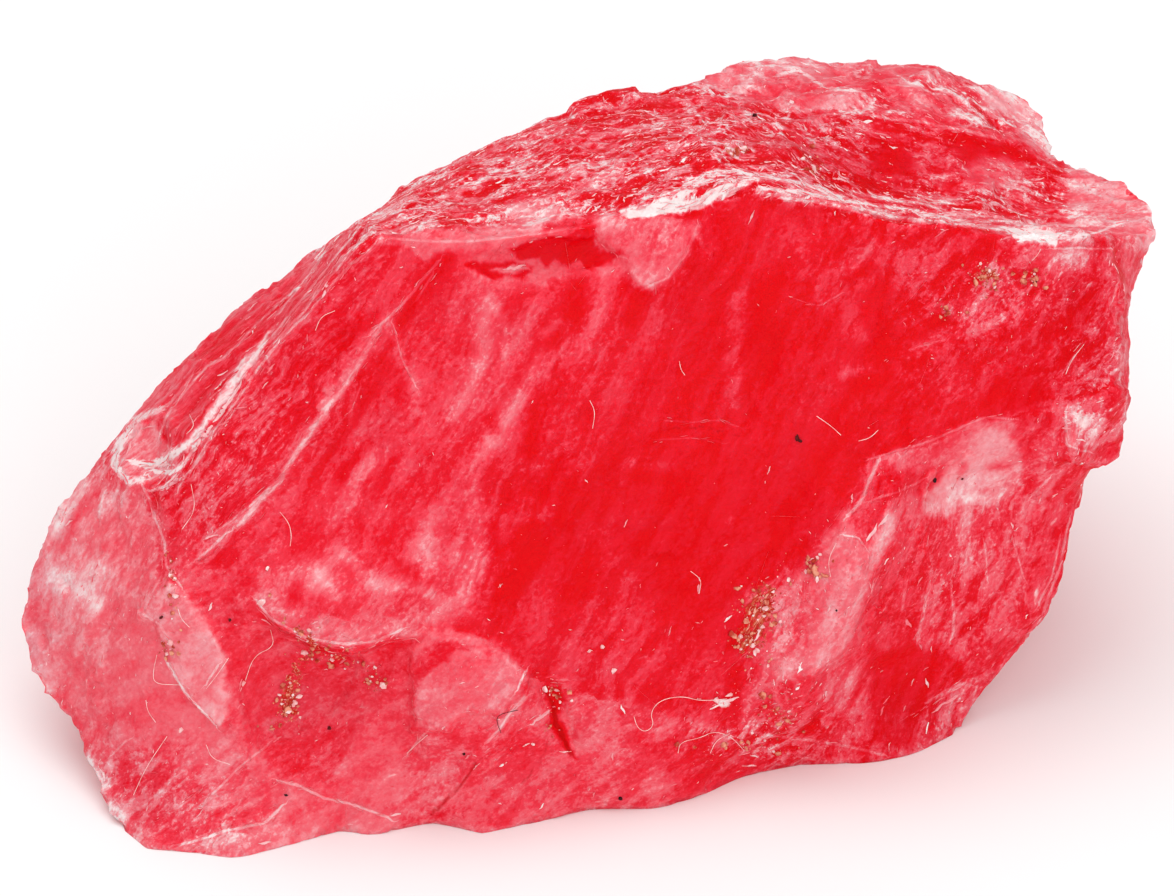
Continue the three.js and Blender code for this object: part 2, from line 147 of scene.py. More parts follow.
def line_distance(front, corners):
    """How far each point of the front's plane lies from a line through the corners."""
    nearest = np.full(len(front), FAR)
    for start, end in zip(corners, corners[1:]):
        nearest = np.minimum(nearest, from_stretch(front, start, end)[0])
    return nearest


def outline_distance(front, corners):
    """How far each point of the front's plane lies from a polygon's outline."""
    return line_distance(front, corners + corners[:1])


def depth_inside(front, corners):
    """How deep inside a polygon of the front's plane each point lies, or below 0 outside it."""
    odd = np.zeros(len(front), bool)
    x, y = front[:, 0], front[:, 1]
    for (ax, ay), (bx, by) in zip(corners, corners[1:] + corners[:1]):
        if ay == by:
            continue
        crosses = (ay > y) != (by > y)
        reach = ax + (y - ay) / (by - ay) * (bx - ax)
        odd ^= crosses & (x < reach)
    distance = outline_distance(front, corners)
    return np.where(odd, distance, -distance)


def painted(front, ovals, edge=2.0):
    """The ovals' amounts at each point of the front's plane, added up: each fades from its middle."""
    total = np.zeros(len(front))
    for across, up, long, wide, turn, amount in ovals:
        cells = along_grain(front - [across, up, 0], turn, long, wide, 1.0)
        total += amount * np.exp(-((cells[:, 0] ** 2 + cells[:, 1] ** 2) ** (edge / 2)))
    return total


def drawn(front, lines, softness):
    """The lines' amounts at each point, added up: each falls smoothly from its line to nothing."""
    total = np.zeros(len(front))
    for half_width, amount, corners in lines:
        total += amount * smooth(line_distance(front, corners), half_width + softness, 0)
    return total


def rounded(corners, rounds=3):
    """The corners' line with each corner cut again and again, which leaves a curve."""
    points = np.array(corners, float)
    for _ in range(rounds):
        a, b = points[:-1], points[1:]
        cut = np.stack([0.75 * a + 0.25 * b, 0.25 * a + 0.75 * b], axis=1).reshape(-1, 2)
        points = np.vstack([points[:1], cut, points[-1:]])
    return points


# ---------- Meshes ----------

MOST = 1.3  # the highest value of an attribute


def placed(name, data):
    """A new object in the scene."""
    thing = bpy.data.objects.new(name, data)
    bpy.context.collection.objects.link(thing)
    return thing


def point_vectors(mesh, name):
    values = np.empty(len(mesh.vertices) * 3)
    mesh.vertices.foreach_get(name, values)
    return values.reshape(-1, 3)


def positions(mesh):
    return point_vectors(mesh, "co")


def normals(mesh):
    return point_vectors(mesh, "normal")


def add_attribute(mesh, name, values):
    layer = mesh.attributes.new(name, "FLOAT", "POINT")
    layer.data.foreach_set("value", np.clip(values, 0, MOST).astype(np.float32))


def add_vectors(mesh, name, vectors, domain="POINT"):
    layer = mesh.attributes.new(name, "FLOAT_VECTOR", domain)
    layer.data.foreach_set("vector", np.asarray(vectors, np.float32).ravel())


def spread(mesh, values, rounds):
    """Values averaged with their neighbours over the mesh, so many times."""
    ends = np.empty(len(mesh.edges) * 2, int)
    mesh.edges.foreach_get("vertices", ends)
    a, b = ends.reshape(-1, 2).T
    count = np.bincount(ends, minlength=len(values)).astype(float)
    shape = (-1,) + (1,) * (values.ndim - 1)
    for _ in range(rounds):
        total = np.zeros_like(values)
        np.add.at(total, a, values[b])
        np.add.at(total, b, values[a])
        values = 0.5 * values + 0.5 * total / count.reshape(shape)
    return values


def convexity(mesh, rounds):
    """How far each point stands out of its surroundings, in millimetres: above 0 on an edge."""
    co = positions(mesh)
    return ((co - spread(mesh, co, rounds)) * normals(mesh)).sum(axis=1) / MM


# ---------- The stone's shape ----------

SHARP = math.radians(24)  # edges of the solid that stand out and turn more than this stay edges
CREASE = 0.75
LEVELS = 2
FOLD = math.radians(32)  # folds of the finished skin that turn more than this stay edges
CRISP = 0.1  # zones whose edges fade over no more than this get a finer mesh along them
REFINE_REACH = 0.17  # and how far from the edge it reaches


def creased_copy(node):
    """A new mesh with the node's shape, its points merged and its sharp edges creased."""
    bm = bmesh.new()
    bm.from_mesh(node.data)
    bmesh.ops.remove_doubles(bm, verts=bm.verts, dist=0.001 * MM)
    crease = bm.edges.layers.float.new("crease_edge")
    for edge in bm.edges:
        if len(edge.link_faces) == 2 and edge.calc_face_angle() > SHARP and edge.is_convex:
            edge[crease] = CREASE
    coarse = bpy.data.meshes.new("coarse")
    bm.to_mesh(coarse)
    bm.free()
    return coarse


def finer_copy(node):
    """A new object with the node's shape, its faces split and rounded off between the creases."""
    coarse = creased_copy(node)
    holder = placed("coarse", coarse)
    refine = holder.modifiers.new("refine", "SUBSURF")
    refine.levels = LEVELS
    evaluated = holder.evaluated_get(bpy.context.evaluated_depsgraph_get())
    mesh = bpy.data.meshes.new_from_object(evaluated)
    mesh.name = "stone"
    bpy.data.objects.remove(holder)
    bpy.data.meshes.remove(coarse)
    return placed("stone", mesh)


def refine_marks(mesh):
    """Halves the edges that lie on the front's side within reach of a crisp zone's border."""
    co, out = positions(mesh), normals(mesh)
    front = seen(to_front(co))
    nearest = np.full(len(front), FAR)
    for _, fade, corners in FACETS.values():
        if fade <= CRISP:
            nearest = np.minimum(nearest, outline_distance(front, corners))
    close = (nearest < REFINE_REACH) & (out @ OUT > -0.2)
    bm = bmesh.new()
    bm.from_mesh(mesh)
    bm.verts.ensure_lookup_table()
    edges = [e for e in bm.edges if close[e.verts[0].index] and close[e.verts[1].index]]
    bmesh.ops.subdivide_edges(bm, edges=edges, cuts=1, use_grid_fill=True)
    bmesh.ops.triangulate(bm, faces=bm.faces)
    bm.to_mesh(mesh)
    bm.free()
    mesh.update()


# How the stone's grain lies, zone by zone: turn from level in degrees, length and width in
# millimetres, and the zone's corners. The first is everywhere else's.
LAYS = [
    (35, 1.7, 0.9, None),
    (26, 1.8, 0.8, [(-15.5, 2.5), (-7.4, 7.6), (1.2, 8.3), (4.8, 9.5), (5.5, 15.0), (-15.5, 15.0)]),
    (-8, 1.8, 0.6, [(4.8, 9.5), (11.9, 8.0), (17.0, 7.5), (22.0, 8.0), (22.0, 17.0), (5.5, 17.0)]),
    (62, 4.5, 1.0, [(-7.4, 7.5), (3.4, 9.1), (18.5, 7.6), (18.6, 2.2), (10.1, -0.4), (5.3, -10.3),
        (-1.5, -8.3), (-5.6, -6.5), (-11.6, -5.5), (-9.5, 0.5)]),
    (50, 1.3, 0.7, [(10.6, 7.9), (18.6, 7.6), (18.6, 2.2), (14.2, 1.1), (11.2, 2.6), (10.4, 5.2)]),
    (46, 4.0, 0.4, [(-7.9, 8.0), (-7.0, 7.2), (-9.5, 0.5), (-13.2, -4.4), (-15.4, -1.2), (-18.0, -0.8),
        (-15.5, 2.5)]),
    (78, 2.8, 0.7, [(10.3, -0.6), (14.8, 1.0), (17.1, 1.3), (18.6, -1.0), (16.5, -7.5), (12.5, -12.0),
        (8.2, -12.0), (8.6, -6.5)]),
    (58, 1.8, 0.7, [(10.1, -0.4), (8.1, -4.0), (5.3, -10.3), (8.2, -12.0), (8.6, -6.5), (10.3, -0.6)]),
    (-50, 2.5, 0.8, [(4.2, 13.2), (5.0, 15.0), (17.5, 15.0), (18.0, 10.4), (13.0, 11.2), (9.5, 12.0),
        (7.0, 12.0)]),
    (-38, 1.6, 0.4, [(5.0, 10.9), (4.4, 13.2), (7.0, 12.0), (9.5, 12.0), (9.8, 10.4), (7.5, 10.0)]),
    (54, 2.2, 0.6, [(-17.5, -0.4), (-15.6, -1.4), (-15.2, -4.5), (-16.0, -6.2), (-21.0, -6.2),
        (-21.0, -2.0)]),
]

# Breaks that stand above their surroundings, or lie below them: lift in millimetres, corners.
STEPS = [
    (0.3, [(-6.2, -8.8), (-6.3, -7.1), (-5.5, -6.45), (-4.2, -6.6), (-2.9, -7.3), (-2.1, -8.1),
        (-2.3, -8.8), (-3.0, -9.5), (-4.3, -9.4), (-5.0, -10.0), (-6.2, -10.1)]),
    (0.22, [(-14.9, -4.7), (-15.9, -5.9), (-15.3, -6.3), (-14.8, -7.7), (-14.5, -8.6), (-13.2, -9.9),
        (-12.8, -9.6), (-12.8, -7.6), (-13.6, -6.2), (-14.2, -5.2)]),
    (0.2, [(9.3, -2.4), (10.0, -3.6), (10.1, -4.8), (9.6, -6.8), (8.4, -7.8), (6.8, -8.4),
        (7.4, -5.6)]),
    (0.3, [(17.1, 1.3), (18.6, 2.2), (20.5, 2.2), (19.4, -0.9), (17.1, -0.3)]),
    (0.14, [(0.2, 8.2), (0.4, 7.4), (1.2, 6.8), (1.8, 5.8), (2.4, 5.65), (3.6, 7.0), (4.0, 8.2)]),
    (-0.2, [(-12.0, -6.2), (-9.5, -7.3), (-8.0, -7.6), (-9.0, -9.4), (-11.6, -11.0), (-12.3, -9.0)]),
    (-0.2, [(-1.8, 7.4), (0.3, 7.5), (1.2, 6.9), (0.0, 6.35), (-1.6, 6.5), (-3.2, 6.05), (-4.4, 6.6),
        (-3.9, 6.9), (-2.9, 6.9)]),
    (-0.22, [(-1.9, -8.2), (-1.0, -8.4), (-0.2, -11.0), (-0.8, -10.8)]),
    (0.22, [(-11.3, 4.2), (-13.2, 1.9), (-14.8, -0.2), (-14.2, -0.2), (-12.5, 2.2), (-11.7, 3.2)]),
    (0.25, [(3.4, 10.8), (5.0, 11.9), (6.0, 11.0), (4.6, 10.2)]),
    (0.3, [(-0.9, 12.2), (1.7, 13.0), (1.9, 12.4), (-0.2, 11.7)]),
    (0.25, [(6.6, 12.4), (12.5, 13.4), (12.0, 12.6), (7.4, 11.9)]),
    (0.25, [(1.2, 8.5), (3.8, 8.6), (6.0, 9.5), (4.6, 9.3), (2.6, 9.0)]),
]
STEP_EDGE = 0.16  # how far a step's edge takes to rise


def stepped(front):
    """The steps' lifts at each point of the front's plane."""
    lift = np.zeros(len(front))
    for height, corners in STEPS:
        lift += height * smooth(depth_inside(front, corners), -STEP_EDGE, STEP_EDGE)
    return lift


def swayed(front):
    """Front-frame points moved a little by noise, so that the grain runs unevenly."""
    return front + 0.25 * wandering(front, 1.5, 51, 77, 0)


def grain_zones(front):
    """Which of the LAYS each point of the front's plane is in."""
    zones = np.zeros(len(front), int)
    for i, (_, _, _, corners) in enumerate(LAYS[1:], start=1):
        zones[depth_inside(front, corners) > 0] = i
    return zones


def laid(front, zones):
    """Each point in its zone's cells: its place counted in grains along, beside and into it."""
    cells = np.zeros_like(front)
    for i, (turn, long, wide, _) in enumerate(LAYS):
        here = zones == i
        cells[here] = along_grain(front[here], turn, long, wide, wide)
    return cells


def add_lay(mesh, front):
    """The grain's cells at the corners of each triangle, which lies in one zone of the grain."""
    corners = np.empty(len(mesh.loops), np.int32)
    mesh.loops.foreach_get("vertex_index", corners)
    at_corners = front[corners]
    zones = grain_zones(at_corners.reshape(-1, 3, 3).mean(axis=1))
    add_vectors(mesh, "lay", laid(at_corners, np.repeat(zones, 3)), "CORNER")


# Heights of the relief in millimetres, and how much less of two of them the smooth front has.
FLUTES = 0.14
HACKLE = 0.16
HOLLOWS = 0.07
PLANES, PLANES_LESS = 0.15, 0.12
SPLINTERS, SPLINTERS_LESS = 0.09, 0.04
GRAIN = 0.03
CHIPS = 0.2
FOOT = 0.05  # millimetres: nothing below this height is moved


def relief(mesh, front, facing, out):
    """The fine relief's height at each point of the mesh, in millimetres."""
    on_front = smooth(facing, 0.6, 0.9)
    on_top = smooth(out[:, 2], 0.45, 0.8) * smooth(front[:, 1], 3, 7)
    sway = front + 0.6 * fbm(front / 4)[:, None]
    ragged = front + 0.14 * wandering(front, 0.6, 0, 9)
    bent = swayed(front)
    cells = laid(bent, grain_zones(bent))

    flutes = ridged(along_grain(sway, 62, 5.0, 1.2, 3.0)) - 0.5
    hackle = ridged(cells) - 0.5
    hollows = scallops(sway / 2.4) - 0.45
    planes = facets(along_grain(sway, 24, 2.4, 1.4, 1.4) + 11)
    splinters = facets(along_grain(sway, 30, 1.2, 0.7, 0.7) + 40)
    edge = smooth(convexity(mesh, 6), 0.02, 0.09)
    chips = edge * smooth(fbm(front / 1.1, 2), -0.2, 0.5)

    height = FLUTES * on_front * flutes + HACKLE * on_top * hackle + HOLLOWS * hollows
    broken = (PLANES - PLANES_LESS * on_front) * planes
    broken += (SPLINTERS - SPLINTERS_LESS * on_front) * splinters
    height += broken
    height += GRAIN * fbm(front / 0.7) - CHIPS * chips
    return height + smooth(facing, 0.15, 0.4) * stepped(seen(ragged))


def carve(mesh):
    """Works the fine relief into the mesh, along each point's normal."""
    co, out = positions(mesh), normals(mesh)
    height = relief(mesh, to_front(co), out @ OUT, out)
    height[co[:, 2] < FOOT * MM] = 0
    co += out * (height * MM)[:, None]
    co[:, 2] = np.maximum(co[:, 2], 0)
    mesh.vertices.foreach_set("co", co.ravel())
    mesh.update()


# ---------- The stone's zones ----------

# Each break in the front's plane: its tone from deep red (0) to white (1), how far its edge fades,
# and its corners (across, up).
FACETS = {
    "front": (0.11, 0.12, [(-7.4, 7.3), (1.2, 8.5), (3.4, 8.6), (6.0, 9.2), (18.5, 7.2), (18.6, 2.2),
        (14.2, 1.1), (10.1, -0.4), (9.0, -2.6), (5.9, -5.3), (5.3, -10.3), (-0.9, -8.5), (-2.0, -8.1),
        (-3.0, -7.0), (-5.6, -6.4), (-11.6, -5.5), (-14.9, -2.9), (-14.2, -0.3)]),
    "left of the front": (0.25, 1.4, [(-7.4, 7.3), (-3.0, 7.0), (-2.0, 3.0), (-3.2, -1.0), (-3.2, -6.5),
        (-11.6, -5.5), (-14.9, -2.9), (-14.0, -0.3)]),
    "right of the front": (0.14, 1.0, [(11.0, 7.9), (18.5, 7.6), (18.6, 2.2), (14.0, 1.2),
        (11.4, 4.0)]),
    "crest side": (0.28, 0.3, [(-7.4, 7.3), (-5.9, 7.2), (-6.9, 5.1), (-9.3, 1.8), (-11.0, -1.2),
        (-13.9, -4.2), (-14.9, -2.9), (-14.2, -0.6), (-12.2, 2.2), (-9.8, 5.0)]),
    "second crest": (0.46, 0.2, [(-6.4, 5.6), (-7.9, 4.0), (-8.7, 3.1), (-9.7, 1.1), (-11.0, -1.0),
        (-12.2, -2.2), (-13.9, -3.9), (-13.6, -4.1), (-12.4, -3.0), (-11.3, -2.0), (-9.9, 0.2),
        (-8.2, 2.6), (-7.0, 4.0)]),
    "flake of the second crest": (0.56, 0.08, [(-8.1, 3.3), (-8.3, 2.7), (-9.2, 1.3), (-9.6, 1.2),
        (-9.3, 2.0), (-8.7, 3.1)]),
    "upper flute": (0.4, 0.12, [(-6.9, 1.9), (-7.5, 1.2), (-8.3, 0.2), (-8.1, 0.0), (-7.3, 0.9),
        (-6.7, 1.6)]),
    "lower flute": (0.45, 0.12, [(-5.9, 1.3), (-6.6, 0.0), (-8.0, -1.3), (-8.6, -2.4), (-9.2, -3.1),
        (-9.0, -2.1), (-8.6, -1.2), (-7.4, 0.2), (-6.4, 1.5)]),
    "lobe": (0.46, 0.6, [(-12.2, -5.3), (-11.3, -6.1), (-9.8, -6.9), (-7.4, -7.0), (-5.6, -6.3),
        (-3.8, -6.0), (-4.0, -3.6), (-7.0, -3.2), (-10.6, -4.0)]),
    "crest band": (0.34, 0.12, [(-8.9, 7.9), (-7.4, 7.5), (-8.6, 6.3), (-9.9, 4.8), (-11.2, 3.4),
        (-12.3, 1.9), (-14.2, -0.4), (-15.1, -1.4), (-16.6, -0.9), (-16.8, 0.4), (-15.0, 2.0),
        (-13.2, 4.2), (-11.5, 5.4)]),
    "beside the strip": (0.22, 0.12, [(-13.2, 2.9), (-12.6, 3.0), (-14.6, 0.3), (-15.1, 0.2),
        (-14.9, 1.0), (-14.3, 1.9)]),
    "strip": (0.88, 0.06, [(-11.2, 4.3), (-12.2, 3.25), (-13.05, 2.0), (-13.65, 1.0), (-14.4, 0.2),
        (-14.8, -0.2), (-14.3, -0.15), (-13.6, 0.7), (-13.0, 1.5), (-12.5, 2.2), (-11.7, 3.2)]),
    "cup": (0.66, 0.1, [(-16.1, 0.9), (-16.8, 0.2), (-17.0, -0.7), (-15.9, -1.3), (-14.5, -1.0),
        (-14.5, -0.2), (-15.2, 0.3), (-15.4, 0.9)]),
    "left": (0.55, 0.12, [(-17.5, -0.4), (-16.0, -1.3), (-15.5, -2.3), (-15.2, -4.6), (-15.9, -5.9),
        (-15.3, -6.3), (-14.5, -8.6), (-13.0, -10.2), (-12.2, -10.8), (-12.9, -13.7), (-17.0, -14.5),
        (-22.0, -8.0), (-21.0, -2.0)]),
    "left, lower": (0.56, 0.8, [(-19.0, -6.4), (-15.6, -6.6), (-14.4, -8.8), (-12.6, -10.6),
        (-13.0, -13.4), (-16.5, -13.8), (-18.6, -9.8)]),
    "wedge": (0.64, 0.06, [(-14.9, -4.7), (-15.9, -5.9), (-15.3, -6.3), (-14.8, -7.7), (-14.5, -8.6),
        (-13.2, -9.9), (-12.8, -9.6), (-12.8, -7.6), (-13.6, -6.2), (-14.2, -5.2)]),
    "strip of the wedge": (0.72, 0.06, [(-15.0, -7.7), (-14.4, -7.8), (-12.9, -9.7), (-13.2, -10.0),
        (-14.2, -9.0)]),
    "bench": (0.36, 0.1, [(-13.9, -4.6), (-12.0, -5.0), (-11.6, -6.0), (-10.0, -6.9), (-9.4, -7.1),
        (-7.0, -7.1), (-6.2, -6.7), (-6.3, -8.0), (-7.6, -8.6), (-8.4, -10.0), (-9.0, -11.8),
        (-10.8, -11.7), (-11.8, -10.5), (-12.8, -9.9), (-12.8, -7.6), (-13.6, -6.2)]),
    "toe": (0.52, 0.2, [(-12.9, -13.7), (-11.8, -10.6), (-10.8, -11.8), (-8.8, -12.2), (-6.8, -13.0),
        (-6.0, -14.5), (-14.0, -15.2)]),
    "low slope": (0.51, 0.15, [(-8.1, -10.0), (-6.5, -9.6), (-5.9, -10.1), (-6.1, -11.0), (-6.5, -12.8),
        (-8.8, -12.3), (-9.0, -11.7)]),
    "under the plate": (0.46, 0.2, [(-6.4, -9.9), (-5.0, -9.9), (-4.2, -9.3), (-3.0, -9.4),
        (-2.9, -10.2), (-4.0, -11.2), (-5.6, -13.1), (-6.5, -14.0), (-6.6, -11.5)]),
    "beside the groove": (0.41, 0.12, [(-2.2, -8.0), (-1.6, -8.4), (-1.3, -9.8), (-0.9, -10.9),
        (0.0, -13.4), (-5.5, -14.0), (-4.0, -11.2), (-2.9, -10.2), (-2.6, -9.2)]),
    "rim of the plate": (0.5, 0.08, [(-6.3, -7.1), (-5.5, -6.45), (-4.2, -6.6), (-3.2, -7.0),
        (-2.7, -7.6), (-3.3, -7.35), (-4.2, -7.0), (-5.3, -6.85), (-6.1, -7.4)]),
    "shell plate": (0.57, 0.06, [(-6.1, -8.7), (-5.6, -8.0), (-4.6, -7.25), (-3.8, -7.15), (-3.5, -7.5),
        (-3.2, -7.3), (-2.8, -7.4), (-2.2, -8.0), (-2.4, -8.8), (-3.0, -9.4), (-4.2, -9.3),
        (-5.0, -9.9), (-6.1, -10.0)]),
    "broken edge": (0.6, 0.08, [(-2.1, -8.8), (-2.6, -9.0), (-3.3, -9.9), (-3.7, -10.5), (-3.4, -10.5),
        (-2.9, -9.9), (-2.3, -9.3)]),
    "foot of the front": (0.26, 1.0, [(-3.0, -6.8), (-2.0, -5.0), (1.5, -5.4), (4.5, -7.3), (5.2, -9.8),
        (2.6, -8.9), (-0.9, -8.3), (-2.0, -7.8)]),
    "low front": (0.47, 0.5, [(-0.9, -8.5), (2.6, -9.2), (5.3, -10.3), (5.5, -12.4), (1.0, -13.4),
        (-0.2, -11.6), (-0.8, -10.0)]),
    "shade under it": (0.22, 0.5, [(2.0, -10.4), (5.4, -10.2), (5.4, -11.6), (3.0, -12.4)]),
    "groove": (0.03, 0.06, [(-1.6, -8.5), (-0.9, -8.5), (-1.0, -9.3), (-0.8, -10.0), (-0.4, -11.2),
        (-0.9, -10.8), (-1.3, -9.8), (-1.5, -9.0)]),
    "low right": (0.34, 0.1, [(10.1, -0.4), (14.2, 1.1), (17.1, 1.3), (19.0, -0.4), (17.5, -7.5),
        (12.5, -12.0), (5.6, -12.0), (5.6, -10.2), (6.8, -8.4), (9.0, -2.6)]),
    "light band": (0.66, 0.35, [(9.3, -2.4), (10.0, -3.6), (10.1, -4.8), (9.6, -6.8), (8.4, -7.8),
        (6.8, -8.4), (6.0, -7.2), (5.9, -5.3), (7.0, -5.0), (8.3, -3.8)]),
    "edge of the big patch": (0.47, 0.08, [(10.3, -0.4), (12.2, 0.2), (14.0, 1.0), (15.1, 1.0),
        (15.6, 0.5), (14.5, 0.4), (13.9, -0.1), (12.9, -0.6), (11.0, -0.8)]),
    "notch": (0.2, 0.08, [(10.6, -1.0), (12.1, -0.9), (12.2, -1.5), (10.2, -2.0), (10.3, -1.3)]),
    "big patch": (0.68, 0.16, [(12.0, -2.3), (12.0, -1.7), (12.6, -1.1), (13.3, -0.5), (13.7, 0.1),
        (13.9, 0.7), (14.7, 0.8), (15.3, 0.2), (15.6, -0.6), (15.5, -1.3), (15.0, -1.8), (14.3, -2.1),
        (13.4, -1.9), (12.8, -2.5)]),
    "light flake": (0.62, 0.08, [(11.1, -2.3), (10.7, -2.4), (10.0, -3.6), (10.1, -4.8), (10.8, -3.6)]),
    "shade of the fan": (0.22, 0.2, [(10.1, -4.8), (10.9, -3.6), (11.7, -2.9), (12.4, -2.9),
        (12.0, -5.0), (11.6, -7.0), (10.0, -7.0)]),
    "fan, middle": (0.44, 0.12, [(12.7, -3.2), (13.9, -3.0), (14.0, -4.3), (13.3, -5.0), (12.9, -7.0),
        (12.2, -7.0), (12.4, -4.8)]),
    "fan, right": (0.38, 0.12, [(14.3, -3.0), (15.6, -3.1), (15.7, -4.8), (14.8, -6.2), (14.0, -5.0)]),
    "foot of the fan": (0.07, 0.2, [(10.0, -7.1), (12.8, -7.2), (13.8, -8.0), (12.0, -9.5),
        (11.6, -10.9), (10.2, -10.6)]),
    "right flank": (0.25, 0.2, [(15.8, -2.4), (17.1, -1.0), (18.6, -1.0), (17.0, -7.5), (15.5, -7.5)]),
    "block": (0.38, 0.08, [(17.1, 1.3), (18.6, 2.2), (20.0, 2.2), (19.0, -0.8), (17.1, -0.3)]),
    # painted highlight on the block's face
    "glint on the face of the block": (0.66, 0.15, [(17.1, 1.2), (18.4, 1.9), (18.5, 0.9), (17.9, 0.0),
        (17.1, 0.1)]),
    "speckled patch": (0.42, 0.2, [(12.2, 5.1), (14.0, 5.6), (14.2, 6.5), (15.0, 6.6), (15.4, 5.7),
        (16.6, 5.2), (15.2, 4.4), (13.7, 4.3), (12.8, 4.8)]),
    "right corner": (0.4, 0.3, [(16.3, 5.3), (16.6, 7.1), (18.1, 7.2), (18.0, 5.8)]),
    "deep right": (0.06, 0.4, [(13.8, 1.2), (14.3, 2.2), (15.2, 3.2), (16.4, 2.0), (16.0, 1.0),
        (15.3, 1.3)]),
    "deep streak": (0.08, 0.3, [(3.3, 6.4), (4.7, 6.6), (4.9, 2.0), (3.4, 2.2)]),
    "top": (0.36, 0.2, [(-7.4, 7.5), (-7.9, 8.6), (-4.0, 12.0), (4.2, 14.5), (7.5, 11.5), (7.2, 9.2),
        (1.2, 8.4)]),
    "edge of the top": (0.56, 0.1, [(-7.6, 7.3), (-7.2, 7.9), (-4.5, 7.8), (-1.5, 7.9), (-1.8, 7.4),
        (-2.5, 6.95), (-2.9, 7.1), (-3.4, 6.6), (-3.8, 7.0), (-4.6, 6.75), (-5.0, 7.1), (-5.9, 6.6),
        (-6.3, 7.1)]),
    "cloud of the top": (0.66, 0.3, [(-3.4, 8.1), (-2.6, 9.0), (-1.5, 8.9), (-0.6, 8.7), (-0.8, 8.2),
        (-2.0, 7.9)]),
    "hanging chip": (0.5, 0.3, [(0.2, 8.2), (0.4, 7.4), (1.2, 6.8), (1.2, 6.4), (1.8, 5.8), (2.3, 5.6),
        (3.0, 6.2), (3.6, 7.0), (4.0, 8.2), (2.0, 8.4)]),
    "edge of the chip": (0.6, 0.25, [(1.9, 5.8), (2.4, 5.65), (3.1, 6.3), (3.7, 7.1), (4.0, 8.0),
        (3.3, 7.9), (3.0, 7.0), (2.5, 6.3)]),
    "round the pockets": (0.4, 0.3, [(-4.9, 6.9), (-1.9, 7.7), (1.3, 7.5), (1.6, 6.6), (0.2, 5.9),
        (-2.2, 5.7), (-4.2, 5.6)]),
    "deep pocket": (0.0, 0.06, [(-1.9, 7.35), (-1.0, 7.55), (0.1, 7.55), (0.3, 7.1), (1.3, 6.9),
        (0.6, 6.6), (0.0, 6.35), (-0.3, 6.75), (-0.8, 6.5), (-1.2, 6.8), (-1.5, 6.45), (-1.7, 6.85),
        (-2.3, 6.75), (-2.9, 7.0), (-2.5, 7.15)]),
    "long pocket": (0.0, 0.06, [(-4.4, 6.5), (-3.9, 6.7), (-3.4, 6.55), (-2.7, 6.7), (-1.9, 6.5),
        (-2.2, 6.15), (-2.8, 6.25), (-3.2, 6.0), (-3.9, 6.2)]),
    "tongue of the pocket": (0.6, 0.08, [(-3.4, 6.35), (-2.7, 6.55), (-2.0, 6.5), (-2.3, 6.3),
        (-2.9, 6.25)]),
    # painted highlight: the glint and the bright arc over it
    "glint": (1, 0.06, [(1.1, 8.5), (1.9, 8.2), (3.0, 8.35), (3.8, 8.5), (4.6, 8.8), (5.4, 9.2),
        (6.0, 9.5), (5.6, 9.6), (4.9, 9.2), (4.2, 9.05), (3.5, 8.95), (2.6, 8.85), (1.6, 8.75)]),
    "arc over the glint": (0.74, 0.08, [(3.2, 9.0), (3.6, 9.6), (4.4, 9.95), (5.8, 9.95), (5.6, 9.75),
        (4.6, 9.7), (4.0, 9.4), (3.6, 9.0)]),
    "pocket over the glint": (0.14, 0.08, [(4.0, 9.1), (4.2, 9.4), (4.8, 9.5), (5.2, 9.3), (4.6, 9.1)]),
    "hollow": (0.17, 0.3, [(7.2, 9.2), (7.0, 12.1), (11.6, 11.8), (17.1, 10.4), (19.5, 9.0),
        (16.9, 7.4), (11.9, 7.9)]),
    "depth of the hollow": (0.06, 0.25, [(10.0, 11.2), (12.5, 11.3), (16.0, 10.6), (16.0, 10.2),
        (13.0, 10.1), (12.5, 9.8), (10.6, 9.6), (9.8, 10.4)]),
    "ridge": (0.54, 0.12, [(6.0, 9.9), (9.0, 9.3), (13.0, 8.6), (17.0, 7.9), (16.9, 7.5), (12.5, 7.95),
        (9.0, 8.6), (7.0, 8.8)]),
    "slab": (0.5, 0.2, [(4.2, 13.0), (5.0, 15.0), (17.5, 15.0), (18.0, 10.4), (16.0, 10.7),
        (11.6, 11.7), (9.5, 12.0), (7.0, 12.1)]),
    "shade of the slab": (0.38, 0.5, [(9.8, 13.4), (13.8, 12.9), (15.0, 11.8), (15.4, 11.2),
        (11.8, 11.8), (10.0, 12.2)]),
    "end of the slab": (0.83, 0.25, [(13.8, 12.9), (15.5, 13.0), (16.6, 12.2), (17.2, 11.2),
        (18.2, 10.4), (16.6, 10.3), (15.8, 11.0), (15.0, 11.9), (14.2, 12.3)]),
    "shoulder": (0.68, 0.4, [(17.0, 7.5), (18.5, 7.6), (21.0, 6.5), (21.0, 9.5), (17.1, 10.4)]),
    "white chip": (0.95, 0.06, [(15.1, 7.75), (15.2, 7.5), (15.5, 7.3), (16.7, 7.3), (16.8, 7.6),
        (15.9, 7.75)]),
}

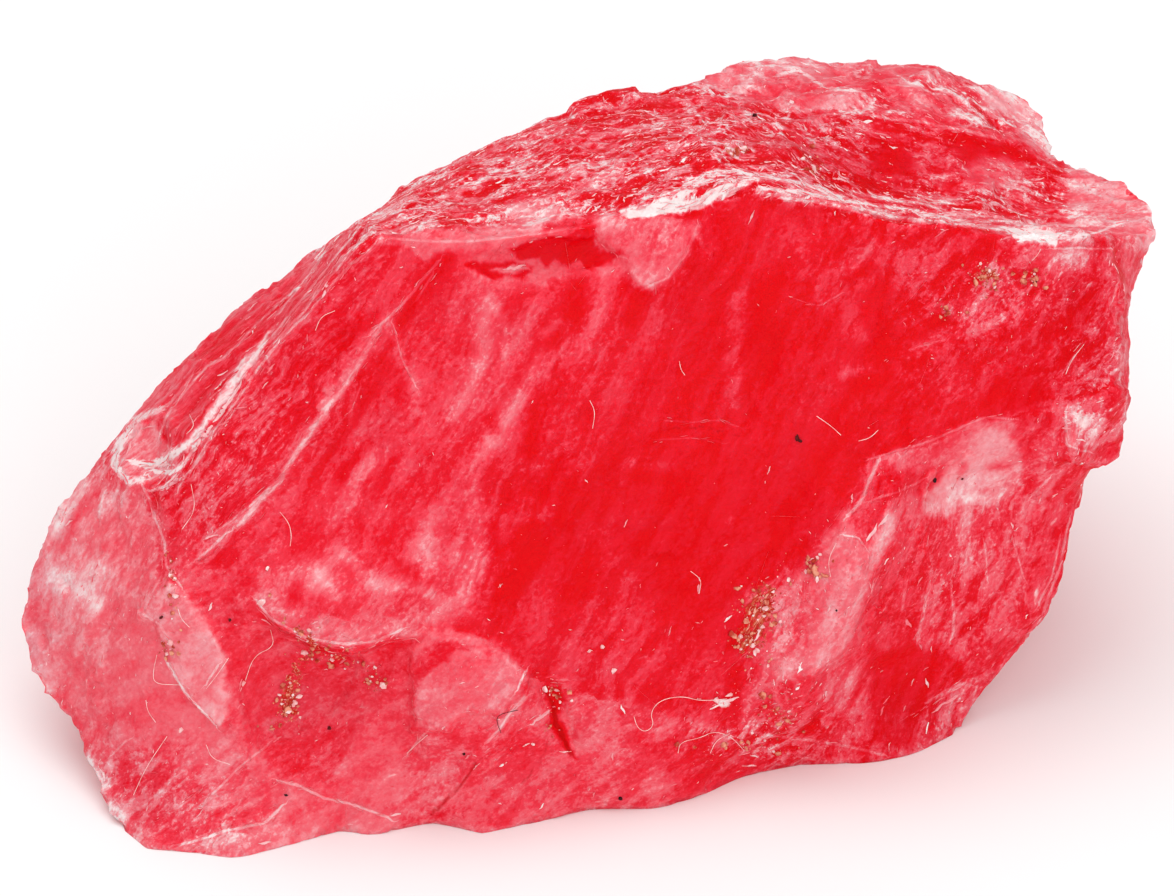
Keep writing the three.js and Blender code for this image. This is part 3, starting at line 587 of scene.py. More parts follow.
# Soft streaks added to the tone: half width, amount, and the corners (across, up).
STREAKS = [
    (0.5, 0.3, [(-3.4, 5.2), (-3.6, 4.4), (-3.8, 3.2), (-4.2, 2.0), (-4.7, 1.2)]),
    (0.22, 0.18, [(-3.2, 5.0), (-2.9, 4.2), (-3.0, 3.2)]),
    (0.45, 0.22, [(-1.5, 3.2), (-2.4, 1.9), (-3.3, 0.4)]),
    (0.25, 0.18, [(-0.5, 3.9), (-0.8, 3.3)]),
    (0.22, 0.25, [(-1.0, 4.5), (-1.5, 4.1)]),
    (0.5, 0.18, [(0.9, 6.2), (0.4, 5.0), (0.1, 3.4)]),
    (0.35, 0.15, [(2.6, 5.2), (2.2, 3.8)]),
    (0.35, 0.15, [(5.4, 5.4), (5.2, 3.4), (5.2, 1.8)]),
    (0.2, 0.15, [(-6.9, 4.4), (-6.6, 3.2), (-6.1, 2.2), (-6.0, 1.2)]),
    (0.3, -0.18, [(-5.0, 6.8), (-6.6, 4.6)]),
    (0.5, -0.2, [(-7.0, 2.9), (-8.0, 1.6), (-8.9, 0.2), (-9.9, -1.4)]),
    (0.35, -0.15, [(-6.5, 2.4), (-7.6, 0.6), (-8.8, -1.0)]),
    (0.4, -0.18, [(-1.9, 1.8), (-2.0, 0.8), (-1.9, -0.2)]),
    (0.45, -0.25, [(-0.2, 6.0), (-0.5, 4.9)]),
    (0.35, -0.22, [(2.0, 5.6), (1.4, 4.5)]),
    (0.35, -0.15, [(-0.6, -1.2), (-0.9, -2.7)]),
    (0.45, -0.2, [(-2.0, -2.8), (-2.3, -4.2), (-2.8, -5.2)]),
    (0.4, -0.18, [(-3.4, 1.0), (-3.3, 0.6)]),
    (0.3, -0.15, [(-3.4, -2.8), (-3.2, -3.6)]),
    (0.45, 0.22, [(-3.6, 0.2), (-4.1, -0.8), (-4.0, -2.2)]),
    (0.4, 0.2, [(-4.0, -2.8), (-3.8, -4.0), (-4.4, -5.2)]),
    (0.35, -0.18, [(-5.0, -3.0), (-5.2, -4.8)]),
    (0.5, 0.15, [(-5.7, -2.4), (-5.8, -4.4)]),
    (0.6, -0.22, [(-6.9, -3.8), (-6.4, -4.4)]),
    (0.35, 0.22, [(-8.6, -3.8), (-7.6, -4.8), (-6.2, -4.9), (-5.2, -5.5)]),
    (0.5, 0.2, [(-11.6, -5.5), (-10.0, -6.5), (-8.4, -6.7), (-7.0, -6.5), (-5.6, -6.0)]),
    (0.5, -0.12, [(-10.4, -5.4), (-9.0, -5.8), (-7.8, -5.6)]),
    (0.3, 0.15, [(-9.6, -4.4), (-8.9, -5.4)]),
    (0.3, 0.12, [(-1.6, -0.2), (-1.9, -0.8)]),
    (0.25, 0.18, [(-2.3, -2.6), (-1.5, -2.3)]),
    (0.8, 0.1, [(1.2, -4.8), (0.4, -3.4)]),
    (0.4, 0.12, [(1.6, -0.6), (2.9, -0.8)]),
    (0.35, -0.18, [(1.9, -1.0), (2.9, -1.0)]),
    (0.3, 0.18, [(9.0, 6.3), (9.6, 6.8), (10.3, 7.6)]),
    (0.2, -0.18, [(9.2, 6.1), (10.2, 6.6)]),
    (0.6, -0.18, [(10.5, 5.9), (10.2, 4.8)]),
    (0.4, -0.2, [(11.8, 4.0), (13.1, 4.6)]),
    (0.35, 0.18, [(11.4, 3.3), (12.6, 4.0), (14.4, 4.2)]),
    (0.9, 0.07, [(11.4, 2.4), (13.0, 2.8)]),
    (0.8, -0.12, [(6.3, 5.4), (6.4, 3.2)]),
    (0.9, 0.09, [(7.4, 7.6), (8.6, 5.6)]),
    (0.5, 0.12, [(9.4, 4.6), (9.9, 3.8)]),
    (0.3, 0.15, [(9.2, 2.6), (10.2, 2.9)]),
    (0.4, -0.15, [(9.6, 2.3), (10.7, 2.5)]),
    (0.9, -0.12, [(17.6, 5.0), (17.8, 3.4)]),
    (0.5, 0.15, [(17.0, 2.2), (18.4, 4.4)]),
    (0.4, 0.28, [(-18.0, -1.3), (-19.0, -3.0)]),  # the left face
    (0.35, 0.2, [(-17.1, -1.8), (-18.3, -3.6)]),
    (0.5, 0.2, [(-19.1, -4.6), (-18.2, -5.0), (-17.5, -5.5)]),
    (0.8, 0.22, [(-19.2, -3.8), (-17.4, -4.4)]),
    (0.35, -0.14, [(-17.6, -1.6), (-18.8, -3.4)]),
    (0.4, 0.16, [(-19.8, -6.6), (-19.2, -8.6)]),
    (0.5, -0.14, [(-16.6, -10.8), (-16.2, -12.4)]),
    (0.35, 0.4, [(-18.0, -11.2), (-17.2, -12.0)]),
    (0.3, 0.35, [(-17.2, -12.7), (-16.6, -13.3)]),
    (0.35, 0.2, [(-13.2, -14.0), (-10.9, -13.7)]),
    (0.5, 0.14, [(9.4, -8.0), (9.2, -10.4)]),  # the low right
    (0.4, -0.14, [(8.2, -8.4), (8.0, -10.2)]),
    (0.4, 0.12, [(13.8, -8.4), (12.2, -10.6)]),
    (0.4, 0.2, [(5.6, 13.8), (8.2, 13.6)]),  # the slab
    (0.3, 0.16, [(11.0, 13.4), (12.2, 12.2)]),
    (0.3, -0.14, [(13.2, 11.2), (15.6, 10.6)]),
    (0.35, 0.16, [(13.4, 10.0), (16.6, 9.3)]),
]

# Soft clouds added to the tone: across, up, half length, half width, turn in degrees, amount.
CLOUDS = [
    (1.5, -3.0, 8.0, 5.5, 30, -0.05),  # heart of the front
    (-12.4, -0.6, 2.4, 1.0, 45, 0.1),
    (14.0, 5.6, 2.2, 1.0, 10, 0.08),
    (17.6, 3.4, 1.1, 2.4, 0, 0.06),
    (-15.5, -10.5, 2.2, 1.6, -30, -0.08),
    (14.8, -0.7, 0.4, 0.2, 20, -0.4),  # flaws of the big patch
    (13.5, -0.9, 0.3, 0.16, 60, -0.4),
    (13.9, -1.5, 0.5, 0.1, 10, -0.2),
    (-9.6, -4.6, 1.0, 0.6, -20, 0.08),
    (-6.0, -3.9, 1.2, 0.5, 10, 0.08),
    (18.6, 0.9, 0.3, 0.4, 0, -0.2),
    (7.0, 11.1, 1.2, 0.6, 20, 0.1),
    (-1.0, 10.6, 2.2, 0.3, 20, -0.06),
    (3.2, 11.5, 0.7, 0.2, 10, -0.2),
    (2.5, 9.2, 0.5, 0.16, 10, -0.3),
    (-1.6, 3.2, 3.8, 3.4, 60, 0.13),  # paler and deeper places of the front
    (-7.6, 4.3, 1.2, 0.6, 52, -0.17),
    (-10.2, 2.8, 1.4, 0.7, 52, -0.09),
    (-9.4, -1.7, 1.8, 1.2, 45, 0.12),
    (-11.2, -4.3, 1.4, 1.0, 30, 0.15),
    (-14.4, -3.8, 0.8, 0.9, 0, 0.15),
    (-6.6, -4.3, 1.3, 1.2, 0, -0.15),
    (-6.6, 0.8, 0.8, 0.8, 0, -0.1),
    (-4.1, -6.8, 0.9, 0.6, 0, 0.12),
    (11.4, 6.8, 2.0, 0.7, 0, 0.08),
    (14.7, 5.1, 1.0, 0.7, 0, -0.16),
    (10.2, 3.9, 0.8, 0.7, 0, -0.14),
    (13.0, 2.0, 1.2, 0.8, 0, 0.1),
    (18.8, 2.8, 0.7, 1.2, 0, 0.2),
    (16.3, 6.7, 1.2, 0.6, 0, 0.18),
    (1.2, 6.7, 1.6, 0.5, -20, 0.12),
    (-9.8, -6.8, 1.0, 0.6, -30, -0.16),  # the left and the bench
    (-8.0, -8.0, 1.3, 0.8, 0, -0.1),
    (-18.4, -5.6, 1.6, 1.4, 0, 0.14),
    (-16.6, -0.9, 0.9, 0.6, 0, -0.1),
    (-13.4, -9.9, 1.4, 0.7, 0, 0.09),
    (-17.0, -11.3, 0.8, 0.7, 0, 0.1),
    (-2.1, 8.2, 1.2, 0.5, 0, 0.2),  # the top
    (0.9, 8.2, 0.9, 0.4, 0, 0.22),
    (3.9, 10.5, 2.2, 1.0, 0, -0.12),
    (-1.0, 11.3, 1.4, 0.8, 20, 0.1),
    (8.1, 11.3, 1.1, 0.7, 0, 0.28),
    (12.2, 12.7, 2.2, 0.6, -20, 0.2),
    (12.5, 9.7, 2.4, 0.7, -8, 0.2),
    (15.8, 9.4, 1.5, 1.2, 0, 0.28),
    (5.0, 12.9, 1.2, 0.7, 0, 0.2),
    (17.3, 0.3, 0.8, 1.2, 0, -0.14),  # the low right
    (13.0, -0.6, 0.7, 0.4, 0, 0.12),
    (16.2, -0.9, 0.6, 0.7, 0, 0.1),
    (11.2, -3.5, 0.8, 1.0, 0, 0.16),
    (14.1, -2.4, 1.4, 0.8, 0, 0.2),
    (7.6, -5.4, 1.1, 1.8, -30, -0.15),
    (11.2, -6.8, 0.8, 0.8, 0, 0.1),
    (8.7, -8.5, 0.9, 0.7, 0, 0.12),
    (13.2, -8.4, 0.9, 0.6, 0, 0.12),
    (13.4, -6.1, 1.1, 1.0, 0, -0.1),
    (5.3, -9.9, 0.9, 0.7, 0, 0.12),
    (3.0, -11.3, 1.8, 0.8, 10, 0.1),
    (1.0, -9.7, 0.9, 0.6, 0, -0.12),
    (-5.5, 9.7, 1.0, 0.7, 20, 0.24),
    (-7.2, 8.4, 0.9, 0.6, 30, 0.14),
    (-9.8, 6.7, 1.0, 0.5, 45, 0.14),
    (-8.3, 4.4, 1.0, 0.7, 45, -0.14),
    (-14.4, 1.4, 1.1, 0.4, 50, 0.14),
    (4.8, 12.9, 1.0, 0.6, 0, 0.14),
    (13.0, 11.2, 1.2, 0.5, -10, 0.1),
    (16.3, 8.0, 1.0, 0.9, 0, 0.26),
    (16.7, 6.9, 1.2, 0.7, 0, 0.18),
    (10.2, 6.8, 0.8, 0.7, 0, 0.1),
    (-18.9, -3.7, 0.8, 0.6, 0, -0.14),
    (-7.6, -2.2, 1.2, 0.7, 0, 0.13),
    (-6.2, -3.9, 1.0, 0.7, 0, -0.1),
    (-0.2, 0.8, 1.4, 0.8, 60, 0.08),
    (1.0, -12.7, 0.8, 0.5, 0, 0.1),
    (-15.9, -12.8, 0.7, 0.6, 0, -0.12),
    (-13.8, 0.9, 0.8, 0.6, 0, 0.1),
    (-12.8, 3.8, 0.9, 0.5, 40, -0.1),
    (-4.6, -3.0, 1.8, 1.4, 30, 0.1),
    (13.4, -1.5, 1.0, 0.5, 10, 0.1),
]

# Bright rim lines in the form of the streaks: pale broken edges, and strokes of painted highlight about
# the ridge's glint.
RIMS_AND_GLINTS = [
    (0.05, 0.65, [(-7.6, 7.3), (-8.6, 6.4), (-9.8, 5.0), (-11.0, 3.8), (-12.0, 2.5)]),  # the crest
    (0.04, 0.6, [(-7.9, 7.6), (-9.0, 6.3), (-10.1, 4.9), (-11.3, 3.6)]),
    (0.04, 0.7, [(-8.3, 7.7), (-9.4, 6.3), (-10.6, 4.8), (-11.6, 3.6)]),
    (0.04, 0.6, [(-8.7, 7.8), (-9.9, 6.2), (-11.0, 4.8)]),
    (0.05, 0.75, [(-9.2, 7.2), (-10.1, 5.9), (-11.3, 4.9)]),
    (0.05, 0.7, [(-11.3, 4.9), (-12.1, 4.1), (-13.0, 3.2), (-13.6, 2.9), (-14.3, 2.1), (-15.0, 1.2),
        (-15.2, 0.5)]),
    (0.05, 0.6, [(-14.1, 2.6), (-14.9, 1.6), (-16.1, 0.9)]),
    (0.04, 0.7, [(-12.1, 2.3), (-13.1, 0.9), (-14.0, -0.5), (-14.6, -1.4)]),
    (0.03, 0.6, [(-12.4, 1.6), (-13.3, 0.4), (-14.2, -0.9)]),
    (0.13, 1.0, [(-15.2, 1.4), (-16.2, 1.0), (-16.7, 0.2), (-16.9, -0.6), (-16.4, -1.2),
        (-15.9, -1.15)]),  # the cup
    (0.12, 1.1, [(-16.2, -0.5), (-15.6, -0.65), (-15.0, -0.45), (-14.6, -0.1)]),
    (0.07, 1.0, [(-15.4, -0.85), (-14.9, -0.9), (-14.4, -0.6), (-14.0, 0.1), (-13.4, 0.6)]),
    (0.06, 1.0, [(-15.5, -1.5), (-15.0, -1.35), (-14.6, -1.1)]),
    (0.05, 0.6, [(-15.9, -1.3), (-15.6, -1.8), (-15.4, -2.6), (-15.1, -3.3), (-15.0, -4.2),
        (-14.5, -4.9)]),
    (0.05, 0.6, [(-5.3, 6.7), (-6.2, 5.6), (-6.9, 4.8), (-7.7, 4.1)]),  # the second crest
    (0.04, 0.5, [(-5.5, 6.2), (-6.1, 5.3)]),
    (0.1, 0.5, [(-7.4, 4.2), (-8.2, 2.9), (-8.9, 1.9), (-9.5, 1.2)]),
    (0.1, 0.5, [(-9.5, 1.2), (-10.3, -0.1), (-11.0, -1.2), (-11.7, -1.9), (-12.4, -2.8)]),
    (0.05, 0.5, [(-11.2, -1.3), (-12.1, -2.1), (-13.4, -3.1)]),
    (0.05, 0.6, [(-12.8, -3.0), (-13.3, -3.5), (-13.9, -4.0)]),
    (0.03, 0.4, [(-6.9, 4.4), (-6.6, 3.2), (-6.1, 2.2)]),
    (0.03, 0.35, [(-8.1, 2.2), (-8.4, 1.4), (-9.0, 0.8)]),
    (0.04, 0.25, [(-15.2, -4.6), (-15.9, -5.9), (-15.3, -6.3), (-14.9, -7.0)]),  # the wedge
    (0.04, 0.6, [(-15.0, -7.7), (-14.3, -8.8), (-13.3, -9.9)]),
    (0.04, 0.5, [(-13.2, -7.8), (-13.6, -8.4)]),
    (0.04, 0.4, [(-16.9, -10.9), (-16.4, -10.4)]),
    (0.05, 0.6, [(-11.0, -11.9), (-10.2, -12.1), (-9.4, -12.5), (-8.1, -12.8), (-7.0, -13.2)]),  # the toe
    (0.05, 0.6, [(-14.6, -14.2), (-13.0, -13.7), (-11.5, -13.4), (-10.9, -12.8)]),
    (0.04, 0.4, [(-13.9, -12.8), (-12.6, -11.6), (-11.4, -10.6)]),
    (0.03, 0.4, [(-14.8, -13.0), (-13.8, -12.2)]),
    (0.05, 0.6, [(-11.8, -5.5), (-11.3, -6.1), (-10.0, -6.8), (-8.6, -7.0), (-7.4, -6.9),
        (-6.6, -6.5)]),
    (0.05, 0.85, [(-2.2, -8.0), (-2.45, -8.6)]),  # the shell plate
    (0.05, 0.5, [(-2.2, -8.9), (-2.8, -9.5), (-3.2, -10.1), (-3.6, -10.5)]),
    (0.04, 0.5, [(-5.8, -10.2), (-6.4, -10.9)]),
    (0.06, 0.8, [(-1.4, -9.4), (-1.9, -9.8)]),
    (0.04, 0.4, [(-1.3, -8.3), (-0.7, -8.3)]),
    (0.05, 0.3, [(-7.4, 7.5), (-5.5, 7.35), (-3.2, 7.45), (-1.5, 7.7), (0.2, 8.0), (1.2, 8.5)]),  # the top, with strokes of painted highlight about the glint
    (0.05, 0.3, [(2.0, 5.65), (2.9, 6.1), (3.5, 6.9), (3.9, 7.8)]),
    (0.04, 0.2, [(0.3, 7.6), (0.7, 7.0), (1.3, 6.8)]),
    (0.05, 0.8, [(4.6, 9.3), (5.3, 9.65), (6.0, 9.6)]),
    (0.07, 1.0, [(6.0, 9.8), (7.2, 9.55), (8.2, 9.3), (9.1, 9.0)]),
    (0.05, 0.8, [(9.4, 9.2), (11.0, 8.85), (12.4, 8.6)]),
    (0.06, 1.0, [(3.4, 9.3), (4.2, 9.8), (5.4, 9.9), (6.2, 9.5)]),
    (0.05, 0.9, [(2.0, 8.9), (3.0, 9.1), (3.6, 9.5)]),
    (0.06, 1.0, [(6.3, 9.3), (7.4, 9.15), (8.6, 8.95), (9.8, 8.75), (11.4, 8.5)]),
    (0.03, 0.4, [(2.8, 1.0), (3.8, 0.9), (4.8, 1.0), (5.4, 0.8)]),
    (0.03, 0.35, [(2.4, 0.3), (3.6, 0.35), (4.8, 0.2)]),
    (0.08, 0.7, [(7.0, 8.9), (8.6, 8.75), (10.0, 8.45), (11.2, 8.2), (12.6, 8.05), (14.7, 7.85),
        (16.9, 7.65)]),
    (0.04, 0.7, [(11.9, 9.0), (12.4, 8.8), (12.9, 8.75)]),
    (0.04, 0.5, [(12.0, 8.3), (13.6, 8.1), (15.2, 8.1)]),
    (0.04, 0.5, [(16.9, 7.5), (18.2, 7.7), (19.2, 8.1)]),
    (0.04, 0.5, [(16.6, 7.1), (17.6, 7.2), (18.6, 7.1)]),
    (0.06, 0.6, [(7.8, 11.8), (9.4, 12.0), (11.4, 11.7), (13.4, 11.35), (14.6, 11.1)]),
    (0.06, 0.6, [(6.8, 13.3), (7.5, 13.5), (8.4, 12.95)]),
    (0.06, 0.7, [(8.6, 12.85), (9.8, 12.8)]),
    (0.05, 0.7, [(3.3, 10.3), (4.2, 10.85), (5.0, 10.55), (5.9, 10.0)]),
    (0.04, 0.6, [(4.6, 10.4), (5.3, 9.95)]),
    (0.05, 0.6, [(2.4, 11.5), (3.2, 11.8), (3.8, 12.1), (4.4, 11.4)]),
    (0.04, 0.6, [(-0.4, 10.35), (0.5, 10.7), (1.6, 10.6), (2.1, 10.2)]),
    (0.04, 0.6, [(-2.4, 10.0), (-1.4, 10.4)]),
    (0.04, 0.6, [(-4.0, 9.4), (-3.2, 9.9)]),
    (0.04, 0.6, [(2.2, 9.9), (2.45, 9.6), (2.1, 9.3)]),
    (0.04, 0.5, [(10.1, -0.4), (12.2, 0.25), (14.2, 1.1), (15.2, 1.05)]),  # the low right
    (0.07, 0.7, [(9.3, -2.4), (9.8, -1.9), (10.2, -1.0), (10.4, -0.5)]),
    (0.04, 0.5, [(10.2, -1.9), (11.2, -1.6), (12.0, -1.1)]),
    (0.03, 0.6, [(9.2, -3.1), (9.7, -3.2), (9.9, -3.5)]),
    (0.07, 0.6, [(12.3, -4.4), (12.1, -5.4), (11.8, -6.8)]),
    (0.05, 0.5, [(13.0, -4.8), (13.1, -6.0), (13.0, -6.8)]),
    (0.04, 0.4, [(14.2, -3.4), (14.3, -4.6)]),
    (0.04, 0.4, [(15.2, -3.2), (15.6, -4.6)]),
    (0.05, 0.45, [(11.4, -4.8), (11.2, -5.8)]),
    (0.08, 0.7, [(12.2, -9.0), (12.8, -8.7), (13.4, -8.4)]),
    (0.03, 0.5, [(11.4, -9.6), (12.1, -9.2)]),
    (0.05, 0.7, [(17.2, -2.6), (16.9, -4.2), (16.3, -5.8)]),
    (0.04, 0.6, [(16.9, -3.2), (16.6, -4.6), (16.1, -5.6)]),
    (0.06, 0.6, [(15.9, -1.7), (16.5, -1.1)]),
    (0.04, 0.5, [(17.1, 1.3), (17.1, 0.1), (18.0, -0.2)]),
    (0.05, 0.5, [(6.0, -10.2), (7.4, -10.35), (9.0, -10.6), (10.6, -10.95)]),
    (0.04, 0.7, [(17.1, 2.8), (17.7, 3.7)]),  # the right of the front
    (0.05, 0.7, [(18.85, 5.4), (18.95, 5.8)]),
    (0.03, 0.4, [(11.9, 3.6), (12.6, 3.8)]),
    (0.03, 0.4, [(7.4, 5.3), (8.3, 5.1), (9.0, 5.5)]),
]

# Dark cracks, in the same form.
CRACKS = [
    (0.02, 0.9, [(-1.5, -8.6), (-1.3, -9.0), (-1.1, -9.8), (-0.6, -11.0)]),  # the groove
    (0.01, 0.75, [(-4.0, -11.2), (-4.6, -12.1), (-5.3, -12.8), (-5.6, -13.1)]),
    (0.0, 0.6, [(-1.2, -10.3), (-1.8, -11.3), (-2.3, -11.9)]),
    (0.0, 0.5, [(-3.2, -12.1), (-4.0, -12.4)]),
    (0.0, 0.6, [(2.9, 0.7), (4.2, 0.7), (5.4, 0.5)]),
    (0.0, 0.5, [(4.6, 1.9), (5.2, 2.1)]),
    (0.0, 0.6, [(-11.2, -6.4), (-9.8, -7.1), (-8.6, -7.3)]),  # under the lobe
    (0.0, 0.5, [(12.2, 8.75), (12.9, 8.6)]),
    (0.0, 0.5, [(-13.3, -9.9), (-12.8, -10.4)]),
    (0.0, 0.5, [(-14.9, -6.9), (-14.5, -8.0)]),
    (0.0, 0.45, [(-15.05, -4.7), (-15.95, -5.9), (-15.35, -6.35)]),
]

# The rest are ovals in the form of the clouds. First the white places: frosted breaks, and painted
# highlights on the ridge's glint and on the block's face.
FROST_AND_GLINTS = [
    (2.5, 8.55, 1.3, 0.25, 10, 1.2),  # painted highlights: the glint on the ridge
    (4.6, 9.1, 1.0, 0.2, 26, 1.0),
    (16.0, 7.52, 0.7, 0.16, 0, 1.0),  # white chip on the right of the ridge
    # painted highlight on the block's face
    (17.6, 1.0, 0.35, 0.5, -20, 0.6),
    (-18.2, -11.4, 0.25, 0.5, -30, 0.5),
    (-17.1, -12.9, 0.25, 0.5, -40, 0.5),
    (16.6, 12.0, 0.5, 0.4, 30, 0.5),
    (4.9, -9.15, 0.3, 0.2, 0, 0.9),
    (6.0, -10.9, 0.3, 0.6, -20, 0.4),
]

# Brown dirt.
DIRT = [
    (-14.75, -4.7, 0.16, 1.0, 5, 1.0),
    (-15.0, -7.2, 0.25, 0.25, 0, 0.9),
    (-10.4, -8.2, 0.35, 1.5, -25, 1.2),
    (-10.6, -9.3, 0.4, 0.6, 0, 1.0),
    (-9.9, -6.8, 1.1, 0.16, -35, 1.0),
    (-8.9, -7.5, 0.6, 0.25, 0, 0.8),
    (-7.6, -8.2, 0.25, 0.3, 0, 0.7),
    (6.3, -5.6, 0.55, 0.9, -20, 2.0),
    (5.9, -6.9, 0.6, 0.8, -20, 1.4),
    (8.1, -4.3, 0.25, 0.3, 0, 0.9),
    (7.0, -9.6, 0.6, 0.4, 0, 1.0),
    (5.6, -10.6, 1.2, 0.2, -5, 0.8),
    (14.2, 6.1, 0.5, 0.35, 0, 1.5),
    (12.9, 5.0, 0.4, 0.3, 0, 0.5),
    (16.0, 6.0, 0.3, 0.3, 0, 0.7),
    (-1.3, -9.6, 0.16, 0.6, -15, 0.4),
    (-1.1, -8.7, 0.4, 0.12, -10, 0.8),
    (8.1, 10.0, 0.2, 0.4, 15, 0.9),
    (5.3, 10.6, 0.2, 0.12, 15, 1.0),
]

# Painted shade: darker places at the sides, in hollows, and under the lobe and the slab.
PAINTED_SHADE = [
    (-20.0, -6.5, 1.0, 2.5, -10, 0.7),
    (-16.0, -11.8, 3.0, 1.6, -20, 0.4),
    (-10.5, -9.2, 1.6, 2.0, 0, 0.5),
    (9.5, 10.4, 4.0, 1.0, -8, 0.6),
    (17.8, 4.6, 1.5, 3.0, 0, 0.35),
    (11.8, -9.6, 3.0, 1.6, 10, 0.4),
    (-18.5, 1.0, 3.0, 1.0, 45, 0.3),
]

# Where the break is rougher than around it, or smoother.
ROUGH = [
    (-15.5, -11.5, 3.0, 2.2, -30, 0.7),
    (-12.5, -0.5, 4.5, 1.6, 50, 0.35),
    (-17.0, -0.8, 1.2, 1.2, 0, 0.3),
    (14.8, -1.5, 2.4, 1.4, 10, 0.15),
    (13.5, -5.0, 2.6, 2.4, 0, 0.3),
    (15.0, 5.6, 2.8, 1.6, 0, 0.45),
    (11.5, 4.6, 3.0, 2.2, 0, 0.25),
    (17.8, 3.6, 1.2, 3.0, 0, 0.5),
    (18.4, 1.0, 1.4, 1.6, 0, 0.4),
    (11.8, -9.8, 3.0, 1.4, 20, 0.3),
    (6.0, -10.4, 2.6, 0.8, 0, 0.6),
    (6.6, -6.4, 1.0, 1.8, -20, 0.5),
    (2.4, 7.2, 1.8, 1.2, 0, 0.3),
    (-13.0, -13.6, 2.2, 0.6, 5, 0.3),
    (10.5, 8.6, 4.5, 0.5, -8, 0.6),
    (3.0, 9.3, 2.6, 0.8, 15, 0.6),
    (12.5, 10.4, 4.5, 1.1, -10, -1.3),  # smooth places
    (10.5, 13.0, 5.5, 1.0, -8, -0.6),
    (-0.8, 6.8, 3.0, 0.6, 0, -0.6),
    (-15.2, -9.9, 2.8, 2.2, 0, -0.5),
    (13.8, -0.6, 1.8, 1.4, 30, -0.3),
]

# Places strewn thickly with dust.
DUST = [
    (-17.5, -7.0, 3.0, 5.0, -20, 0.5),
    (-14.5, -12.5, 3.0, 2.0, 0, 0.6),
    (8.0, -6.0, 1.8, 4.0, -30, 0.9),
    (6.0, -9.5, 2.6, 1.2, 0, 0.8),
    (-12.5, -1.0, 3.0, 2.0, 45, 0.4),
    (15.0, 5.0, 3.0, 2.5, 0, 0.5),
    (12.5, -1.5, 2.5, 1.0, 10, 0.6),
    (-4.0, -9.0, 4.0, 3.0, 0, 0.25),
    (0.0, 11.0, 9.0, 3.0, 22, 0.7),
    (15.5, 11.0, 3.5, 3.0, 0, 0.7),
]

# Places strewn with splinters.
SPLINTERED = [(9.5, 8.9, 4.5, 0.35, -8, 1.0), (-13.0, 1.5, 3.0, 0.8, 50, 0.4)]

# ---------- The stone's tone and marks ----------

BACK_TONE = 0.4
CALM_TONE = 0.5  # breaks at least this pale are smooth
DEEP_TONE = 0.05  # and so are those no paler than this
LINE_FADE = 0.3  # a rim line fades out over this distance
ASIDE = 9.0  # half widths: no place is said to be further aside from a rim line than this
RIM_SETS = 3  # lines of different sets don't disturb each other where they come close


def sets_apart(lines):
    """The lines in sets, each line in the set whose own lines keep furthest from it."""
    sets = [[] for _ in range(RIM_SETS)]
    for line in lines:
        points = rounded(line[2], 2)
        front = np.column_stack([points, np.zeros(len(points))])
        gaps = [min((line_distance(front, other[2]).min() for other in group), default=FAR)
                for group in sets]
        sets[int(np.argmax(gaps))].append(line)
    return sets


def beside_lines(front, lines):
    """Each point's side-to-side place from its nearest line, in half widths, and its amount there."""
    nearest = np.full(len(front), FAR)
    place = np.full(len(front), ASIDE)
    amount = np.zeros(len(front))
    for half_width, strength, corners in lines:
        for start, end in zip(corners, corners[1:]):
            distance, side = from_stretch(front, start, end)
            here = distance < nearest
            nearest[here] = distance[here]
            place[here] = (side * distance)[here] / half_width
            amount[here] = strength * np.clip(1.5 - distance[here] / LINE_FADE, 0, 1)
    return np.clip(place, -ASIDE, ASIDE), amount


def zoned(front, shown, tone):
    """The tone with that of each break laid over it, and how much each place is on a smooth break."""
    calm = np.zeros(len(front))
    for target, fade, corners in FACETS.values():
        share = shown * smooth(depth_inside(front, corners), -fade, fade)
        tone = tone + share * (target - tone)
        calm += share * ((target >= CALM_TONE or target <= DEEP_TONE) - calm)
    return tone, calm


def add_rims(mesh, front, shown):
    """Adds each point's place from its nearest rim line, and the amount there: a part for each set."""
    found = [beside_lines(front, group) for group in sets_apart(RIMS_AND_GLINTS)]
    add_vectors(mesh, "rim_and_glint_place", np.stack([place for place, _ in found], axis=1))
    amounts = np.stack([amount for _, amount in found], axis=1)
    add_vectors(mesh, "rim_and_glint_amount", shown[:, None] * amounts)


